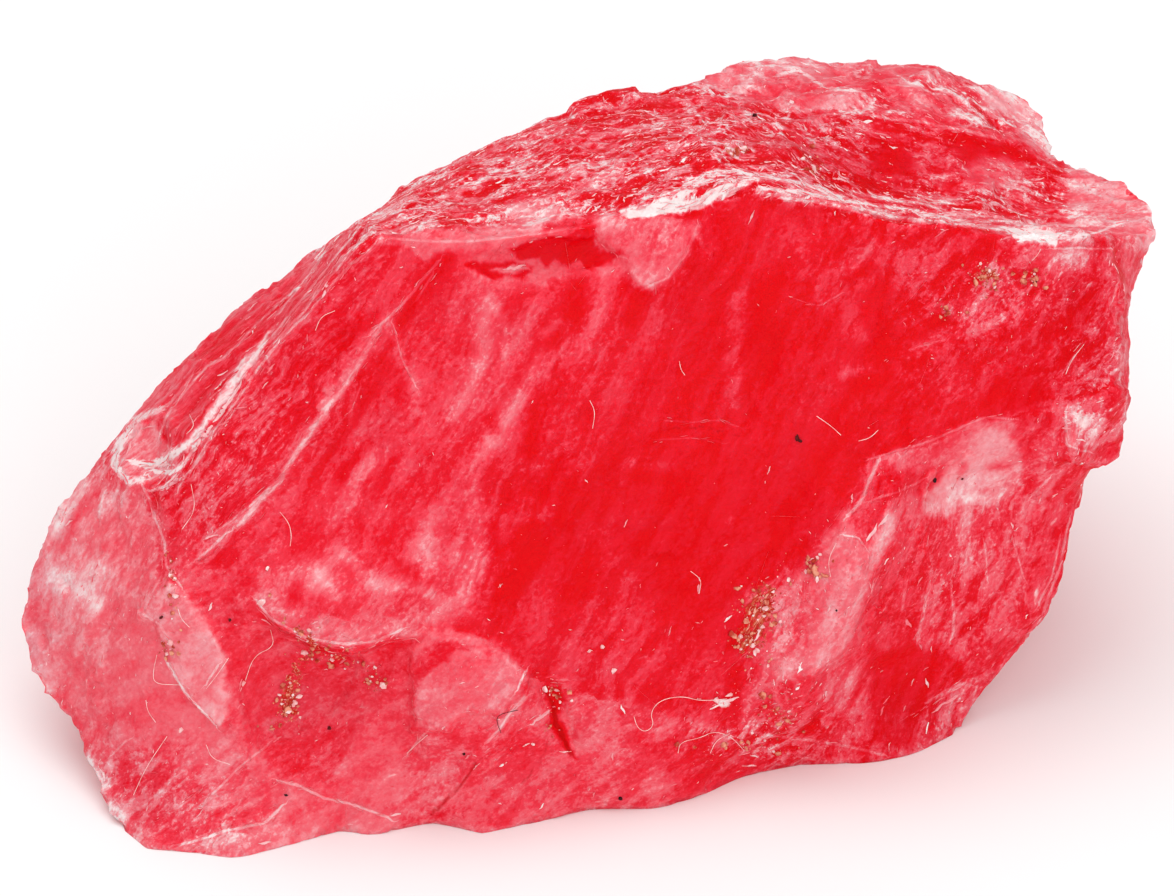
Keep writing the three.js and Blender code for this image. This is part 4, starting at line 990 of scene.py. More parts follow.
def paint(mesh):
    """Adds the tone and the other marks as attributes, and returns where splinters are strewn."""
    co, out = positions(mesh), normals(mesh)
    plain = to_front(co)
    front = seen(plain)
    near = smooth(out @ OUT, -0.15, 0.25)
    shown = np.maximum(near, smooth(out[:, 2], 0.6, 0.9))
    warp = wandering(plain, 1.6, 7, 19)
    rag = wandering(plain, 0.5, 3, 13)
    on_front = near * smooth(depth_inside(front, FACETS["front"][2]), -0.2, 0.2)
    on_top = smooth(front[:, 1], 6, 9) * smooth(out[:, 2], 0.2, 0.6) * shown
    on_top *= (1 - on_front)
    crowded = smooth(fbm(plain / 1.7 + 31), -0.35, 0.45)
    worn = smooth(convexity(mesh, 8), 0.012, 0.07) * smooth(fbm(plain / 0.8 + 3), -0.4, 0.4)
    # paler where the skin turns edge on to the front
    edge_on = smooth(np.abs(out @ OUT), 0.35, 0.0)

    clouded = BACK_TONE + 0.18 * fbm(plain / 5, 4)
    tone, calm = zoned(front + 0.1 * warp + 0.1 * rag, shown, clouded)
    tone += shown * drawn(front + 0.15 * warp + 0.05 * rag, STREAKS, 0.1)
    tone += shown * painted(front + 0.4 * warp, CLOUDS)
    tone += on_top * (0.16 * fbm(plain / 1.3 + 5) + 0.1 * (crowded - 0.5))
    patchy = 0.1 + 0.4 * smooth(fbm(plain / 4 + 60), 0, 0.5)
    broken = 0.27 + 0.1 * fbm(plain / 3) + patchy * (1 - shown) + on_top * (0.63 + crowded)
    broken = broken * (1 - 0.6 * calm) + shown * painted(front + 0.5 * warp, ROUGH)

    add_attribute(mesh, "tone", tone + 0.12 * worn + 0.1 * edge_on)
    # frosted patches, and painted highlights on the glints
    add_attribute(mesh, "frost_and_glint", shown * painted(front + 0.1 * warp, FROST_AND_GLINTS, 4.0))
    add_attribute(mesh, "broken", broken)
    add_attribute(mesh, "crack", near * drawn(front + 0.1 * warp, CRACKS, 0.2))
    add_attribute(mesh, "dirt", shown * painted(front + 0.2 * warp, DIRT))
    # painted shade: the darker places, multiplied in as a dull tint by the material
    add_attribute(mesh, "painted_shade", shown * painted(front + 0.5 * warp, PAINTED_SHADE))
    add_lay(mesh, swayed(plain))
    add_rims(mesh, front + 0.06 * warp, shown)

    strewn = 0.06 * broken * (1 - on_front) + on_top * crowded ** 2 * smooth(front[:, 0], 13, 5)
    strewn += 0.8 * shown * painted(front, SPLINTERED)
    return {
        "shards": strewn * (1 - 0.8 * calm),
        "edges": worn ** 2 * (1 - 0.7 * on_front),
        "dust": 0.05 + shown * painted(front + 0.5 * warp, DUST),
    }


# ---------- Materials ----------


class Nodes:
    """Short calls for building a material's node tree."""

    def __init__(self, name):
        self.material = bpy.data.materials.new(name)
        self.material.use_nodes = True
        self.tree = self.material.node_tree
        self.shader = self.tree.nodes["Principled BSDF"]

    def add(self, kind, inputs=(), **settings):
        node = self.tree.nodes.new(kind)
        for key, value in settings.items():
            setattr(node, key, value)
        for key, value in dict(inputs).items():
            self.put(node.inputs[key], value)
        return node

    def put(self, socket, value):
        if isinstance(value, bpy.types.NodeSocket):
            self.tree.links.new(value, socket)
        else:
            socket.default_value = value

    def shade(self, values):
        """Puts a value or a link into each of the shader's sockets that is named."""
        for name, value in values.items():
            self.put(self.shader.inputs[name], value)

    def math(self, operation, *values, clamp=False):
        inputs = dict(enumerate(values))
        return self.add("ShaderNodeMath", inputs, operation=operation, use_clamp=clamp).outputs[0]

    def vector_math(self, operation, *values):
        inputs = dict(enumerate(values))
        return self.add("ShaderNodeVectorMath", inputs, operation=operation).outputs

    def about(self, value, swing):
        """A noise between 0 and 1, made to swing that far about 0."""
        return self.math("MULTIPLY", self.math("SUBTRACT", value, 0.5), swing)

    def swung(self, start, *swings):
        """The start with each noise's swing about 0 added to it."""
        for value, swing in swings:
            start = self.math("ADD", start, self.about(value, swing))
        return start

    def between(self, value, low, high):
        """0 below low, 1 above high."""
        inputs = {"Value": value, "From Min": low, "From Max": high}
        return self.add("ShaderNodeMapRange", inputs).outputs["Result"]

    def attribute(self, name, output="Fac"):
        return self.add("ShaderNodeAttribute", attribute_name=name).outputs[output]

    def mix(self, factor, a, b, blend="MIX"):
        node = self.add("ShaderNodeMix", data_type="RGBA", blend_type=blend)
        self.put(node.inputs[0], factor)
        self.put(node.inputs[6], a)
        self.put(node.inputs[7], b)
        return node.outputs[2]

    def ramp(self, factor, stops):
        node = self.add("ShaderNodeValToRGB", {"Fac": factor})
        while len(node.color_ramp.elements) < len(stops):
            node.color_ramp.elements.new(0.5)
        for element, (place, colour) in zip(node.color_ramp.elements, stops):
            element.position = place
            element.color = (*colour, 1)
        return node.outputs["Color"]

    def grain(self, turn_deg, long, wide, deep):
        """The same cells as along_grain's, for textures: sizes in millimetres."""
        turn = math.radians(turn_deg)
        along = ACROSS * math.cos(turn) + UP * math.sin(turn)
        beside = ACROSS * math.sin(turn) - UP * math.cos(turn)
        place = self.add("ShaderNodeTexCoord").outputs["Object"]
        cells = self.add("ShaderNodeCombineXYZ")
        for i, (axis, size) in enumerate(((along, long), (beside, wide), (OUT, deep))):
            one_cell = tuple(axis / (size * MM))
            self.put(cells.inputs[i], self.vector_math("DOT_PRODUCT", place, one_cell)["Value"])
        return cells.outputs[0]

    def split(self, vector):
        parts = self.add("ShaderNodeSeparateXYZ", {"Vector": vector}).outputs
        return [parts[i] for i in range(3)]

    def scaled(self, vector, *factors):
        return self.vector_math("MULTIPLY", vector, factors)[0]

    def stirred(self, vector, *fields):
        """The vector with a field's swing added along each of its axes."""
        offsets = self.add("ShaderNodeCombineXYZ", dict(enumerate(fields))).outputs[0]
        return self.vector_math("ADD", vector, offsets)[0]

    def planes(self, vector):
        """Broken cells: how far each place lies along its cell's tilt, and the cell's own shade."""
        cells = self.add("ShaderNodeTexVoronoi", {"Vector": vector})
        place = self.vector_math("SUBTRACT", vector, cells.outputs["Position"])[0]
        slope = self.vector_math("DOT_PRODUCT", place, TILT)["Value"]
        own = self.add("ShaderNodeSeparateColor", {"Color": cells.outputs["Color"]})
        return slope, own.outputs["Red"]

    def noise(self, vector, detail=3.0, roughness=0.55, distortion=0.0):
        inputs = {
            "Vector": vector,
            "Scale": 1.0,
            "Detail": detail,
            "Roughness": roughness,
            "Distortion": distortion,
        }
        return self.add("ShaderNodeTexNoise", inputs).outputs[0]


TONES = [
    (0.0, (0.7, 0.0006, 0.004)),
    (0.2, (0.74, 0.008, 0.022)),
    (0.4, (0.8, 0.045, 0.075)),
    (0.6, (0.82, 0.14, 0.175)),
    (0.8, (0.84, 0.34, 0.37)),
    (1.0, (0.89, 0.72, 0.72)),
]
WHITE = (0.93, 0.82, 0.81, 1)
SHADE = (0.85, 0.74, 0.8, 1)
CRACK = (0.72, 0.16, 0.2, 1)
SOIL = [
    (0.2, (0.54, 0.012, 0.01)),
    (0.5, (0.52, 0.03, 0.017)),
    (0.8, (0.62, 0.12, 0.06)),
    (1.0, (0.86, 0.42, 0.32)),
]
QUARTZ_IOR = 1.54
TILT = (0.4, -1.0, 0.3)  # a broken cell pales towards its upper side: painted light, as on small facets lit from above
PATCH_EDGE = (0.4, 0.7)  # a ragged patch fades in between these amounts
RIM_EDGE = (1.3, 0.6)  # and a rim line between these half widths from its middle


def rim_and_glint_field(n, ragged):
    """How much of a rim line, a pale edge or a stroke of painted highlight, lies at each place: crisp,
    ragged and broken here and there.
    """
    most = 0.0
    places = n.split(n.attribute("rim_and_glint_place", "Vector"))
    amounts = n.split(n.attribute("rim_and_glint_amount", "Vector"))
    for place, amount in zip(places, amounts):
        off = n.swung(n.math("ABSOLUTE", place), (ragged, 3.0))
        line = n.math("MULTIPLY", n.between(off, *RIM_EDGE), amount)
        most = n.math("MAXIMUM", line, most)
    return most


def broken_texture(n, lay, wisps, grit):
    """The hackly break: its relief, how it pales and deepens, and the fine cells' own shades. Each cell
    pales towards its upper side, a painted light as on a facet lit from above.
    """
    stray = n.about(wisps, 0.4)
    ragged = n.stirred(lay, stray, n.about(grit, 0.16), stray)
    slope, own = n.planes(n.scaled(ragged, 1.5, 1.2, 1.2))
    fine_slope, fine_own = n.planes(n.scaled(ragged, 4.5, 3.0, 3.0))
    islands = n.between(n.swung(wisps, (grit, 0.4)), 0.46, 0.54)
    dots = n.between(grit, 0.6, 0.66)

    relief = n.math("MULTIPLY_ADD", slope, 0.4, n.about(wisps, 0.8))
    broken_tone_and_light = n.math("MULTIPLY_ADD", fine_slope, 0.22, n.swung(relief, (own, 0.3)))
    broken_tone_and_light = n.swung(broken_tone_and_light, (fine_own, 0.18), (islands, 0.3))
    return relief, n.math("MULTIPLY_ADD", dots, 0.2, broken_tone_and_light), fine_own


def ragged_patch(n, name, field, swing):
    """Where a painted mark is, with its edge made ragged by a noise."""
    return n.between(n.swung(n.attribute(name), (field, swing)), *PATCH_EDGE)


def quartz_material():
    """The stone's own material: red to white, with frosted patches, cracks, rim lines and dirt, and
    painted shade and painted highlights.
    """
    n = Nodes("quartz")
    tone, broken = n.attribute("tone"), n.attribute("broken")
    lay = n.attribute("lay", "Vector")
    flat = n.grain(35, 1.0, 1.0, 1.0)
    veils = n.noise(n.scaled(flat, 0.45, 0.6, 0.5), detail=6, roughness=0.6, distortion=0.2)
    wisps = n.noise(n.scaled(lay, 0.9, 1.3, 1.3), detail=4, roughness=0.6)
    grit = n.noise(n.scaled(flat, 5.0, 6.0, 5.5), detail=2, roughness=0.65)
    relief, broken_tone_and_light, fine_own = broken_texture(n, lay, wisps, grit)

    restless = n.swung(n.about(veils, 0.5), (wisps, 0.36), (grit, 0.28))
    swings = n.math("MULTIPLY_ADD", broken, broken_tone_and_light, restless)
    paleness = n.math("MULTIPLY_ADD", n.between(tone, -0.1, 0.16), swings, tone)
    # pale rim lines, and strokes of painted highlight about the glint
    paleness = n.math("MULTIPLY_ADD", rim_and_glint_field(n, grit), 0.45, paleness)
    colour = n.ramp(paleness, TONES)
    # painted shade, with a random mottle from the veils, multiplied in as the shade tint
    shade_and_mottle = n.math("ADD", n.attribute("painted_shade"), n.about(veils, 1.2), clamp=True)
    colour = n.mix(shade_and_mottle, colour, SHADE, "MULTIPLY")
    # white of the frosted patches and of the painted highlights on the glints
    white_frost_and_glint = n.math("MULTIPLY", ragged_patch(n, "frost_and_glint", wisps, 1.8), 0.85)
    colour = n.mix(white_frost_and_glint, colour, WHITE)
    colour = n.mix(ragged_patch(n, "crack", grit, 0.6), colour, CRACK, "MULTIPLY")
    crumbs = n.between(n.math("MULTIPLY_ADD", n.attribute("dirt"), 0.36, grit), 0.82, 0.94)
    colour = n.mix(crumbs, colour, n.ramp(fine_own, SOIL))

    fine_height = n.math("MULTIPLY_ADD", wisps, 0.5, n.about(grit, 0.4))
    height = n.math("MULTIPLY_ADD", broken, relief, fine_height)
    bump = n.add("ShaderNodeBump", {"Height": height, "Strength": 0.8, "Distance": 0.13 * MM})

    n.shade({
        "Base Color": colour,
        "Roughness": n.math("MULTIPLY_ADD", grit, 0.5, 0.15),
        "Normal": bump.outputs[0],
        "IOR": QUARTZ_IOR,
        "Specular IOR Level": 0.05,
        "Subsurface Weight": 0.6,
        "Subsurface Radius": (1.0, 0.18, 0.2),
        "Subsurface Scale": 0.3 * MM,
    })
    n.shader.subsurface_method = "BURLEY"
    return n.material


SLIVER_TONES = [
    (0.0, (0.85, 0.06, 0.09)),
    (0.4, (0.86, 0.2, 0.24)),
    (0.75, (0.88, 0.48, 0.5)),
    (1.0, (0.95, 0.85, 0.84)),
]


def sliver_material():
    """The splinters' material: pink to white, by each one's own paleness."""
    n = Nodes("quartz_slivers")
    mottle = n.noise(n.grain(35, 0.12, 0.08, 0.1), detail=2)
    n.shade({
        "Base Color": n.ramp(n.swung(n.attribute("pale"), (mottle, 0.5)), SLIVER_TONES),
        "Roughness": 0.3,
        "IOR": QUARTZ_IOR,
        "Specular IOR Level": 0.15,
    })
    return n.material


def plain_material(name, colour, roughness, tint):
    """A small loose thing's material: its colour mixed with a tint in a fine mottle."""
    n = Nodes(name)
    mottle = n.between(n.noise(n.grain(0, 0.3, 0.3, 0.3)), 0.4, 0.6)
    n.shade({
        "Base Color": n.mix(mottle, (*colour, 1), (*tint, 1)),
        "Roughness": roughness,
        "Specular IOR Level": 0.1,
    })
    return n.material


# ---------- Splinters, lint, crumbs and specks that lie on the stone ----------


class Surface:
    """The finished stone's skin, to lay small things on."""

    OVER = 0.6  # millimetres: how far over the skin a press starts
    REACH = 1.5  # how far down it looks
    CLEAR = 0.3  # nothing is strewn lower than this over the ground

    def __init__(self, stone, fields):
        mesh = stone.data
        faces = [tuple(p.vertices) for p in mesh.polygons]
        self.tree = BVHTree.FromPolygons([v.co for v in mesh.vertices], faces)
        self.middles = np.array([p.center for p in mesh.polygons])
        self.normals = np.array([p.normal for p in mesh.polygons])
        self.areas = np.array([p.area for p in mesh.polygons])
        self.turns = np.array([lay[0] for lay in LAYS])[grain_zones(to_front(self.middles))]
        corner = np.array([face[0] for face in faces])
        self.fields = {name: np.clip(values, 0, None)[corner] for name, values in fields.items()}

    def drop(self, across, up):
        """Where a thing let go in front of the stone at (across, up) lands, and the way out there."""
        eye = Vector(from_front([0, 0, CAMERA_AWAY]))
        aim = Vector(from_front([across, up, 0])) - eye
        place, out, _, _ = self.tree.ray_cast(eye, aim.normalized())
        return place, out

    def press(self, point, out):
        """The skin under a point, looking against the way out."""
        return self.tree.ray_cast(point + out * self.OVER * MM, -out, self.REACH * MM)[0]

    def sown(self, field, count, random):
        """That many random places, each with its way out and grain, most where the field is high."""
        weight = self.areas * self.fields[field]
        weight[self.middles[:, 2] < self.CLEAR * MM] = 0
        for face in random.choice(len(weight), size=count, p=weight / weight.sum()):
            yield Vector(self.middles[face]), Vector(self.normals[face]), self.turns[face]


def in_oval(oval, share, margin, random):
    """A random place (across, up) about an oval's middle, spread over that share of the oval."""
    across, up, long, wide, turn_deg, _ = oval
    a, b = random.normal(size=2) * (share * long + margin, share * wide + margin)
    turn = math.radians(turn_deg)
    return (across + a * math.cos(turn) + b * math.sin(turn),
            up + a * math.sin(turn) - b * math.cos(turn))


def small_piece(name, bm, material):
    mesh = bpy.data.meshes.new(name)
    bm.normal_update()
    bm.to_mesh(mesh)
    bm.free()
    mesh.materials.append(material)
    piece = placed(name, mesh)
    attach(piece, "root")
    return piece


class Slivers:
    """Thin splinters lying on the skin, all joined in one mesh. Their sizes are in millimetres."""

    SECTION = 0.25  # of length for each stretch between cross-sections
    SUNK = 0.02  # of each splinter's sides in the skin
    LIFT = 0.03  # of its middle over the skin
    LINE_GAP = 0.16  # of a line for each splinter along it
    LINE_SWING = 9  # degrees that its splinters turn from it
    CROWD = 36  # splinters in a cluster, for each square millimetre of half length times half width
    CROWD_SWING = 14  # degrees

    def __init__(self, surface, seed):
        self.surface = surface
        self.random = np.random.default_rng(seed)
        self.bm = bmesh.new()
        self.pale = self.bm.verts.layers.float.new("pale")

    def lay(self, place, out, along, length, width, lift, pale):
        """One splinter, widest in its middle, sunk at both sides."""
        along = (along - along.dot(out) * out).normalized()
        beside = out.cross(along)
        random = self.random
        stretches = max(2, round(length / self.SECTION))
        rows = []
        for i in range(stretches + 1):
            foot = self.surface.press(place + along * ((i / stretches - 0.5) * length * MM), out)
            if foot is None:
                return
            thinness = (0.05, 0.4) if i in (0, stretches) else (0.6, 1.2)
            half = beside * (0.5 * width * MM * random.uniform(*thinness))
            middle = foot + beside * (0.1 * width * MM * random.normal())
            sunk = out * (self.SUNK * MM)
            top = out * (lift * MM * random.uniform(0.4, 1.0))
            section = (middle + half - sunk, middle + top, middle - half - sunk)
            rows.append([self.bm.verts.new(p) for p in section])
        for vert in (v for row in rows for v in row):
            vert[self.pale] = pale
        for a, b in zip(rows, rows[1:]):
            for k in range(3):
                m = (k + 1) % 3
                self.bm.faces.new((a[k], b[k], b[m], a[m]))
        self.bm.faces.new(reversed(rows[0]))
        self.bm.faces.new(rows[-1])

    def at(self, across, up, turn, length, width, pale):
        """One splinter at that place of the front's plane."""
        place, out = self.surface.drop(across, up)
        if place is not None:
            self.lay(place, out, direction(turn), length, width, self.LIFT, pale)

    def sow(self, field, count, lengths, widths, pales, lift=LIFT, stray=25):
        """Random splinters where the field is high, more or less along the grain."""
        random = self.random
        for place, out, grain in self.surface.sown(field, count, random):
            turn = grain + random.normal(0, stray)
            size = random.random() ** 2
            length = lengths[0] + (lengths[1] - lengths[0]) * size
            width = widths[0] + (widths[1] - widths[0]) * size
            self.lay(place, out, direction(turn), length, width, lift, random.uniform(*pales))

    def line(self, half_width, amount, corners):
        """Splinters end to end along a line of the front's plane."""
        random = self.random
        for (ax, ay), (bx, by) in zip(corners, corners[1:]):
            length = math.hypot(bx - ax, by - ay)
            turn = math.degrees(math.atan2(by - ay, bx - ax))
            for _ in range(round(amount * length / self.LINE_GAP)):
                t = random.random()
                stray = random.normal(0, half_width + 0.04)
                across = ax + t * (bx - ax) - stray * (by - ay) / length
                up = ay + t * (by - ay) + stray * (bx - ax) / length
                self.at(
                    across, up, turn + random.normal(0, self.LINE_SWING),
                    random.uniform(0.1, 0.3 + 0.3 * amount),
                    random.uniform(0.025, 0.05 + 0.06 * amount),
                    random.uniform(0.1, 0.3 + 0.5 * amount),
                )

    def cluster(self, oval):
        """Splinters crowded in an oval of the front's plane."""
        random = self.random
        _, _, long, wide, turn, amount = oval
        for _ in range(round(self.CROWD * amount * (long * wide + 0.1))):
            across, up = in_oval(oval, 0.6, 0, random)
            self.at(
                across, up, turn + random.normal(0, self.CROWD_SWING),
                random.uniform(0.15, 0.7), random.uniform(0.06, 0.2), random.uniform(0.5, 1.0),
            )

    def piece(self, name, material):
        piece = small_piece(name, self.bm, material)
        return piece


# Single big flakes: across, up, turn, length, width and paleness.
FLAKES = [
    (15.95, 7.5, -4, 1.5, 0.3, 0.95),
    (-2.6, 6.45, 8, 0.9, 0.22, 0.6),
    (10.4, -2.9, 50, 1.2, 0.26, 0.75),
    (7.6, -7.85, 62, 0.45, 0.2, 1.0),
    (7.45, -8.6, 55, 0.62, 0.24, 1.0),
    (-13.4, 0.8, 52, 2.4, 0.2, 0.75),
    (-12.8, 1.7, 54, 1.9, 0.13, 0.9),
    (-13.0, 1.3, 52, 2.6, 0.08, 1.0),
    (-12.4, 2.2, 54, 1.2, 0.1, 0.7),
    (-15.3, -0.65, -5, 1.4, 0.2, 0.8),
    (-14.9, -1.15, 22, 0.8, 0.14, 0.8),
    (-16.3, 0.2, 75, 1.0, 0.12, 0.6),
    (-15.0, -1.45, 5, 0.6, 0.12, 0.7),
    (17.4, -2.6, -72, 2.2, 0.1, 0.5),
    (-17.3, -11.6, -50, 0.6, 0.2, 0.8),
    (-11.5, -14.1, 6, 0.5, 0.16, 0.8),
    (-6.9, -13.1, 10, 0.5, 0.16, 0.8),
    (5.1, -9.0, 10, 0.7, 0.26, 0.8),
    (12.8, -9.1, 30, 1.2, 0.16, 0.5),
    (5.05, -6.1, 40, 0.35, 0.16, 0.9),
    (6.1, -6.7, 65, 0.5, 0.2, 0.85),
    (-3.0, -11.3, 25, 0.3, 0.24, 0.95),
    (0.1, -7.25, 10, 0.2, 0.1, 0.9),
    (6.5, -0.8, 70, 0.3, 0.14, 0.7),
    (1.4, -2.7, 60, 0.3, 0.16, 0.6),
]


def make_shards(surface, material):
    shards = Slivers(surface, 11)
    shards.sow("shards", 2200, (0.08, 0.45), (0.05, 0.22), (0.0, 1.0), stray=30)
    shards.sow("edges", 700, (0.15, 0.6), (0.05, 0.16), (0.1, 0.8))
    shards.piece("shards", material)


def make_dust(surface, material):
    """Grains, then thin hairs of the stone."""
    dust = Slivers(surface, 12)
    dust.sow("dust", 3200, (0.03, 0.16), (0.03, 0.09), (-0.1, 0.9), stray=60)
    dust.sow("dust", 200, (0.5, 2.2), (0.014, 0.024), (-0.1, 0.45), lift=0.012, stray=30)
    dust.piece("dust", material)


def make_rim_and_glint_slivers(surface, material):
    """Splinters along the bright rim lines and in the frosted places, white ones piled on the painted
    glints, and the single flakes.
    """
    rim_and_glint_slivers = Slivers(surface, 13)
    for rim in RIMS_AND_GLINTS:
        rim_and_glint_slivers.line(*rim)
    for oval in FROST_AND_GLINTS:
        rim_and_glint_slivers.cluster(oval)
    for flake in FLAKES:
        rim_and_glint_slivers.at(*flake)
    rim_and_glint_slivers.piece("rim_and_glint_slivers", material)


# Each fibre's course over the front's plane, as corners (across, up) to round off.
PALE_LINT = [
    [(1.68, -9.6), (1.8, -10.0), (2.1, -10.15), (2.4, -9.9), (2.25, -9.46), (2.6, -9.0), (3.4, -8.85),
        (4.04, -9.04), (5.0, -8.96)],
    [(3.25, -10.9), (3.32, -10.5), (4.04, -10.36), (4.54, -10.1), (5.18, -10.32), (5.6, -10.8)],
    [(4.4, -10.9), (4.6, -10.45), (5.1, -10.2)],
    [(-10.96, -2.29), (-10.64, -2.68), (-10.55, -3.1), (-10.6, -3.5)],
    [(-15.36, -7.39), (-15.5, -8.0), (-15.46, -8.43), (-14.57, -8.46)],
    [(-15.75, -9.0), (-15.7, -9.4), (-15.4, -9.8)],
    [(-11.3, -6.5), (-11.15, -7.1), (-11.9, -7.4), (-12.2, -8.3)],
    [(-13.6, -10.6), (-13.4, -11.1), (-12.75, -11.3)],
    [(-12.8, -7.5), (-13.2, -8.1), (-13.6, -8.6)],
    [(-16.2, -12.4), (-15.75, -11.4), (-15.0, -10.3)],
    [(-14.2, 1.2), (-14.0, 0.8), (-14.3, 0.5)],
    [(-14.6, -5.75), (-14.5, -6.1), (-14.2, -6.4)],
    [(-14.14, -1.3), (-13.96, -2.2), (-14.46, -2.9)],
    [(8.2, 1.14), (8.7, 0.8), (9.07, 0.46)],
    [(9.7, 0.25), (10.1, 0.35), (10.4, 0.64)],
    [(17.1, 2.64), (17.3, 3.14), (17.75, 3.7)],
    [(15.1, 8.4), (15.35, 8.45), (15.5, 8.04)],
    [(15.9, 6.7), (16.1, 6.9), (16.2, 7.1)],
    [(11.8, 9.0), (11.85, 8.8), (12.75, 8.75)],
    [(0.1, 1.7), (0.3, 1.3), (0.2, 0.7)],
    [(3.3, 3.1), (3.35, 2.8), (3.5, 2.6)],
    [(-6.43, -10.9), (-6.0, -10.5), (-5.7, -10.25)],
    [(-9.0, 4.9), (-9.5, 4.7), (-9.7, 4.2)],
    [(3.7, -4.4), (4.1, -4.7), (4.0, -5.2)],
    [(8.9, -3.4), (8.6, -4.0), (8.7, -4.6)],
]
DARK_LINT = [[(-2.46, -9.36), (-3.1, -9.5), (-3.25, -9.7), (-3.07, -10.18)]]
LINT_RADIUS = 0.011
LINT_LIFT = 0.03
LINT_SIDES = 5

# across, up and radius of single bright grains and of black specks.
GRAINS = [
    (5.9, -7.04, 0.08), (6.0, -7.3, 0.09), (6.9, -6.2, 0.07), (-10.43, -9.07, 0.1), (-11.6, -5.5, 0.13),
    (-1.93, -10.57, 0.07), (-14.5, -10.07, 0.11), (0.07, -7.25, 0.08), (0.54, -7.1, 0.08),
    (0.96, -7.93, 0.1), (-8.75, 9.3, 0.12), (-11.4, -4.3, 0.08), (4.6, -9.0, 0.14), (5.1, -8.8, 0.12),
    (7.2, -4.7, 0.08), (-12.3, -8.4, 0.1),
]
SPECKS = [
    (-15.18, -6.04, 0.08), (-12.75, -6.14, 0.08), (7.5, 0.36, 0.09), (7.6, 0.26, 0.07),
    (12.4, -1.14, 0.08), (16.0, 5.93, 0.08), (-4.4, -10.9, 0.06), (1.2, -12.5, 0.1),
    (-10.75, -12.4, 0.06), (6.0, 11.85, 0.08), (8.9, -5.8, 0.05), (-9.2, -10.0, 0.06),
    (13.4, -1.1, 0.05),
]
CRUMBS_PER_ZONE = 26
CRUMB_SIZES = (0.02, 0.11)


def add_tube(bm, course, radius):
    """A thin tube along the points, closed at both ends."""
    rings = []
    for i, point in enumerate(course):
        ahead = (course[min(i + 1, len(course) - 1)] - course[max(i - 1, 0)]).normalized()
        side = ahead.cross(Vector(OUT)).normalized()
        top = side.cross(ahead)
        ring = []
        for k in range(LINT_SIDES):
            turn = 2 * math.pi * k / LINT_SIDES
            ring.append(bm.verts.new(point + radius * (side * math.cos(turn) + top * math.sin(turn))))
        rings.append(ring)
    for low, high in zip(rings, rings[1:]):
        for k in range(LINT_SIDES):
            m = (k + 1) % LINT_SIDES
            bm.faces.new((low[k], high[k], high[m], low[m]))
    bm.faces.new(rings[0])
    bm.faces.new(reversed(rings[-1]))


def make_lint(name, surface, fibres, material):
    """Fibres lying over the stone."""
    bm = bmesh.new()
    for fibre in fibres:
        course = []
        for across, up in rounded(fibre):
            place, _ = surface.drop(across, up)
            if place is not None:
                course.append(place + Vector(OUT) * LINT_LIFT * MM)
        add_tube(bm, course, LINT_RADIUS * MM)
    return small_piece(name, bm, material)


def make_crumbs(name, surface, places, material, seed):
    """Small lumps, half sunk in the skin."""
    random = np.random.default_rng(seed)
    bm = bmesh.new()
    for across, up, radius in places:
        place, out = surface.drop(across, up)
        if place is None:
            continue
        made = bmesh.ops.create_icosphere(bm, subdivisions=1, radius=radius * MM)
        stretch = random.uniform(0.6, 1.5, 3)
        turn = Vector(random.normal(size=3)).to_track_quat("Z", "Y")
        for v in made["verts"]:
            shaped = Vector(v.co * random.uniform(0.65, 1.3))
            shaped = Vector(a * b for a, b in zip(shaped, stretch))
            v.co = place + turn @ shaped + out * 0.2 * radius * MM
    return small_piece(name, bm, material)


def crumbs_in(ovals, seed):
    """Random crumbs scattered about the ovals: (across, up, radius)."""
    random = np.random.default_rng(seed)
    smallest, biggest = CRUMB_SIZES
    found = []
    for oval in ovals:
        for _ in range(int(CRUMBS_PER_ZONE * oval[-1])):
            across, up = in_oval(oval, 0.7, 0.05, random)
            found.append((across, up, smallest + (biggest - smallest) * random.random() ** 3))
    return found


# ---------- The stone ----------


def make_stone():
    """The finished stone, and where splinters are strewn on it."""
    stone = finer_copy(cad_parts[NODE])
    refine_marks(stone.data)
    carve(stone.data)
    fields = paint(stone.data)
    for polygon in stone.data.polygons:
        polygon.use_smooth = True
    stone.data.set_sharp_from_angle(angle=FOLD)
    stone.data.materials.clear()
    stone.data.materials.append(quartz_material())
    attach(stone, "root")
    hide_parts(NODE)
    return stone, fields


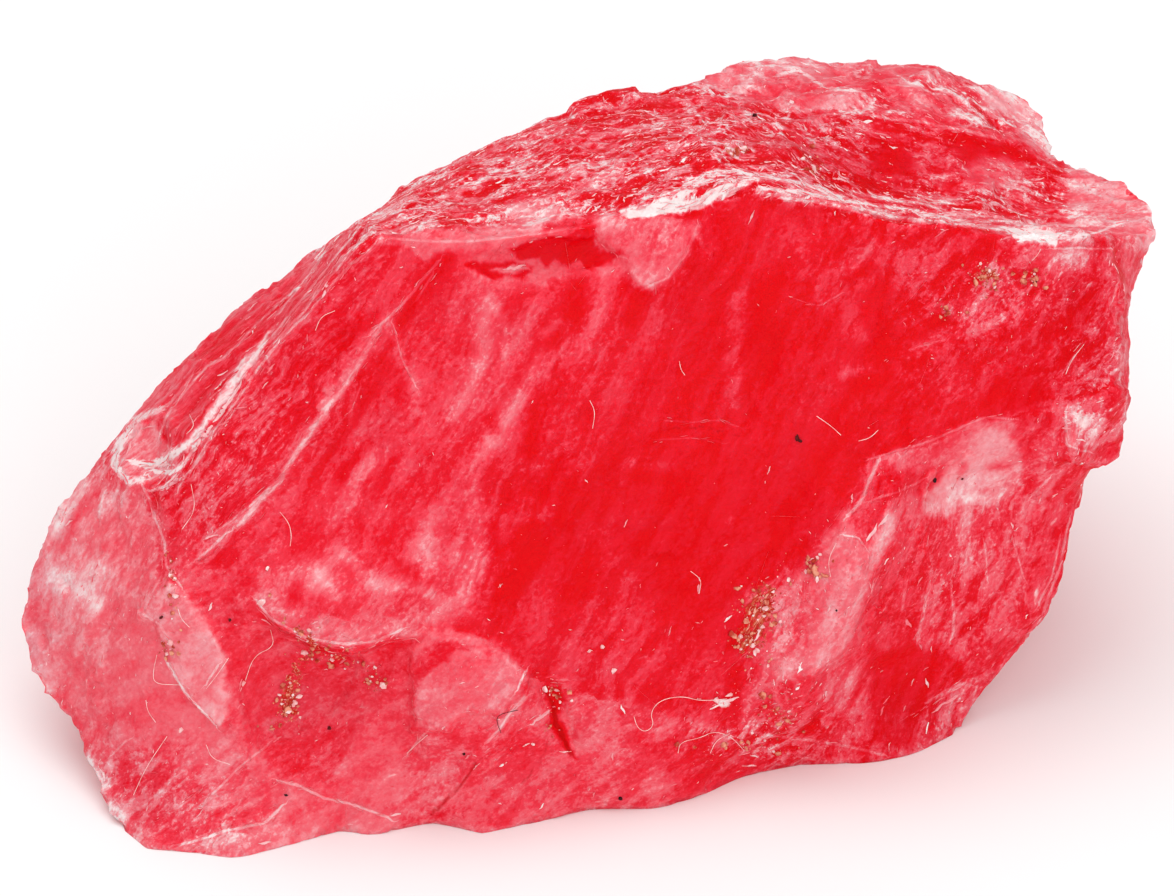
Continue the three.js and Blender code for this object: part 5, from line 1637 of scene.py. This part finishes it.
def make_litter(surface):
    """The lint, grains, dirt and specks that lie on the stone."""
    pale = plain_material("pale_dust", (0.86, 0.42, 0.42), 0.7, (0.95, 0.78, 0.77))
    brown = plain_material("brown_dirt", (0.5, 0.05, 0.03), 0.85, (0.8, 0.33, 0.22))
    black = plain_material("black_specks", (0.02, 0.008, 0.008), 0.6, (0.12, 0.01, 0.01))
    make_lint("lint", surface, PALE_LINT, pale)
    make_lint("dark_fibre", surface, DARK_LINT, black)
    make_crumbs("white_grains", surface, GRAINS + crumbs_in(DIRT, 4)[::3], pale, 1)
    make_crumbs("dirt_crumbs", surface, crumbs_in(DIRT, 5), brown, 2)
    make_crumbs("specks", surface, SPECKS, black, 3)


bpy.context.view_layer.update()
surface = Surface(*make_stone())
slivers = sliver_material()
make_shards(surface, slivers)
make_dust(surface, slivers)
make_rim_and_glint_slivers(surface, slivers)
make_litter(surface)

# ---------- Floor, light and camera ----------

FLOOR_HALF = 1.5
PHOTO_WIDTH = 41.93  # millimetres across the picture, at the stone's middle
SENSOR = 36.0
LIT = (0, 0, 0.01)  # what the lamps face
SKY = 0.66  # the strength of the white surroundings


def make_floor():
    mesh = bpy.data.meshes.new("floor")
    h = FLOOR_HALF
    mesh.from_pydata([(-h, -h, 0), (h, -h, 0), (h, h, 0), (-h, h, 0)], [], [(0, 1, 2, 3)])
    floor = placed("floor", mesh)
    n = Nodes("floor")
    n.shade({"Base Color": (0.95, 0.95, 0.95, 1), "Roughness": 0.8})
    mesh.materials.append(n.material)


def add_softbox(name, place, size, watts):
    light = bpy.data.lights.new(name, "AREA")
    light.energy = watts
    light.size = size
    lamp = placed(name, light)
    lamp.location = place
    lamp.rotation_euler = (Vector(LIT) - Vector(place)).to_track_quat("-Z", "Y").to_euler()


def set_world(strength):
    world = bpy.data.worlds.new("studio")
    world.use_nodes = True
    sky = world.node_tree.nodes["Background"]
    sky.inputs["Color"].default_value = (1, 1, 1, 1)
    sky.inputs["Strength"].default_value = strength
    bpy.context.scene.world = world


def make_camera():
    data = bpy.data.cameras.new("camera")
    data.sensor_width = SENSOR
    data.lens = SENSOR * CAMERA_AWAY / PHOTO_WIDTH
    data.clip_start = 0.01
    camera = placed("camera", data)
    camera.location = from_front([0, 0, CAMERA_AWAY])
    camera.rotation_euler = (-Vector(OUT)).to_track_quat("-Z", "Y").to_euler()
    bpy.context.scene.camera = camera


make_floor()
add_softbox("key", (-0.05, 0.04, 0.32), size=0.28, watts=0.44)
add_softbox("front", (0.1, -0.3, 0.2), size=0.3, watts=0.47)
set_world(SKY)
make_camera()
bpy.context.scene.view_settings.view_transform = "Standard"
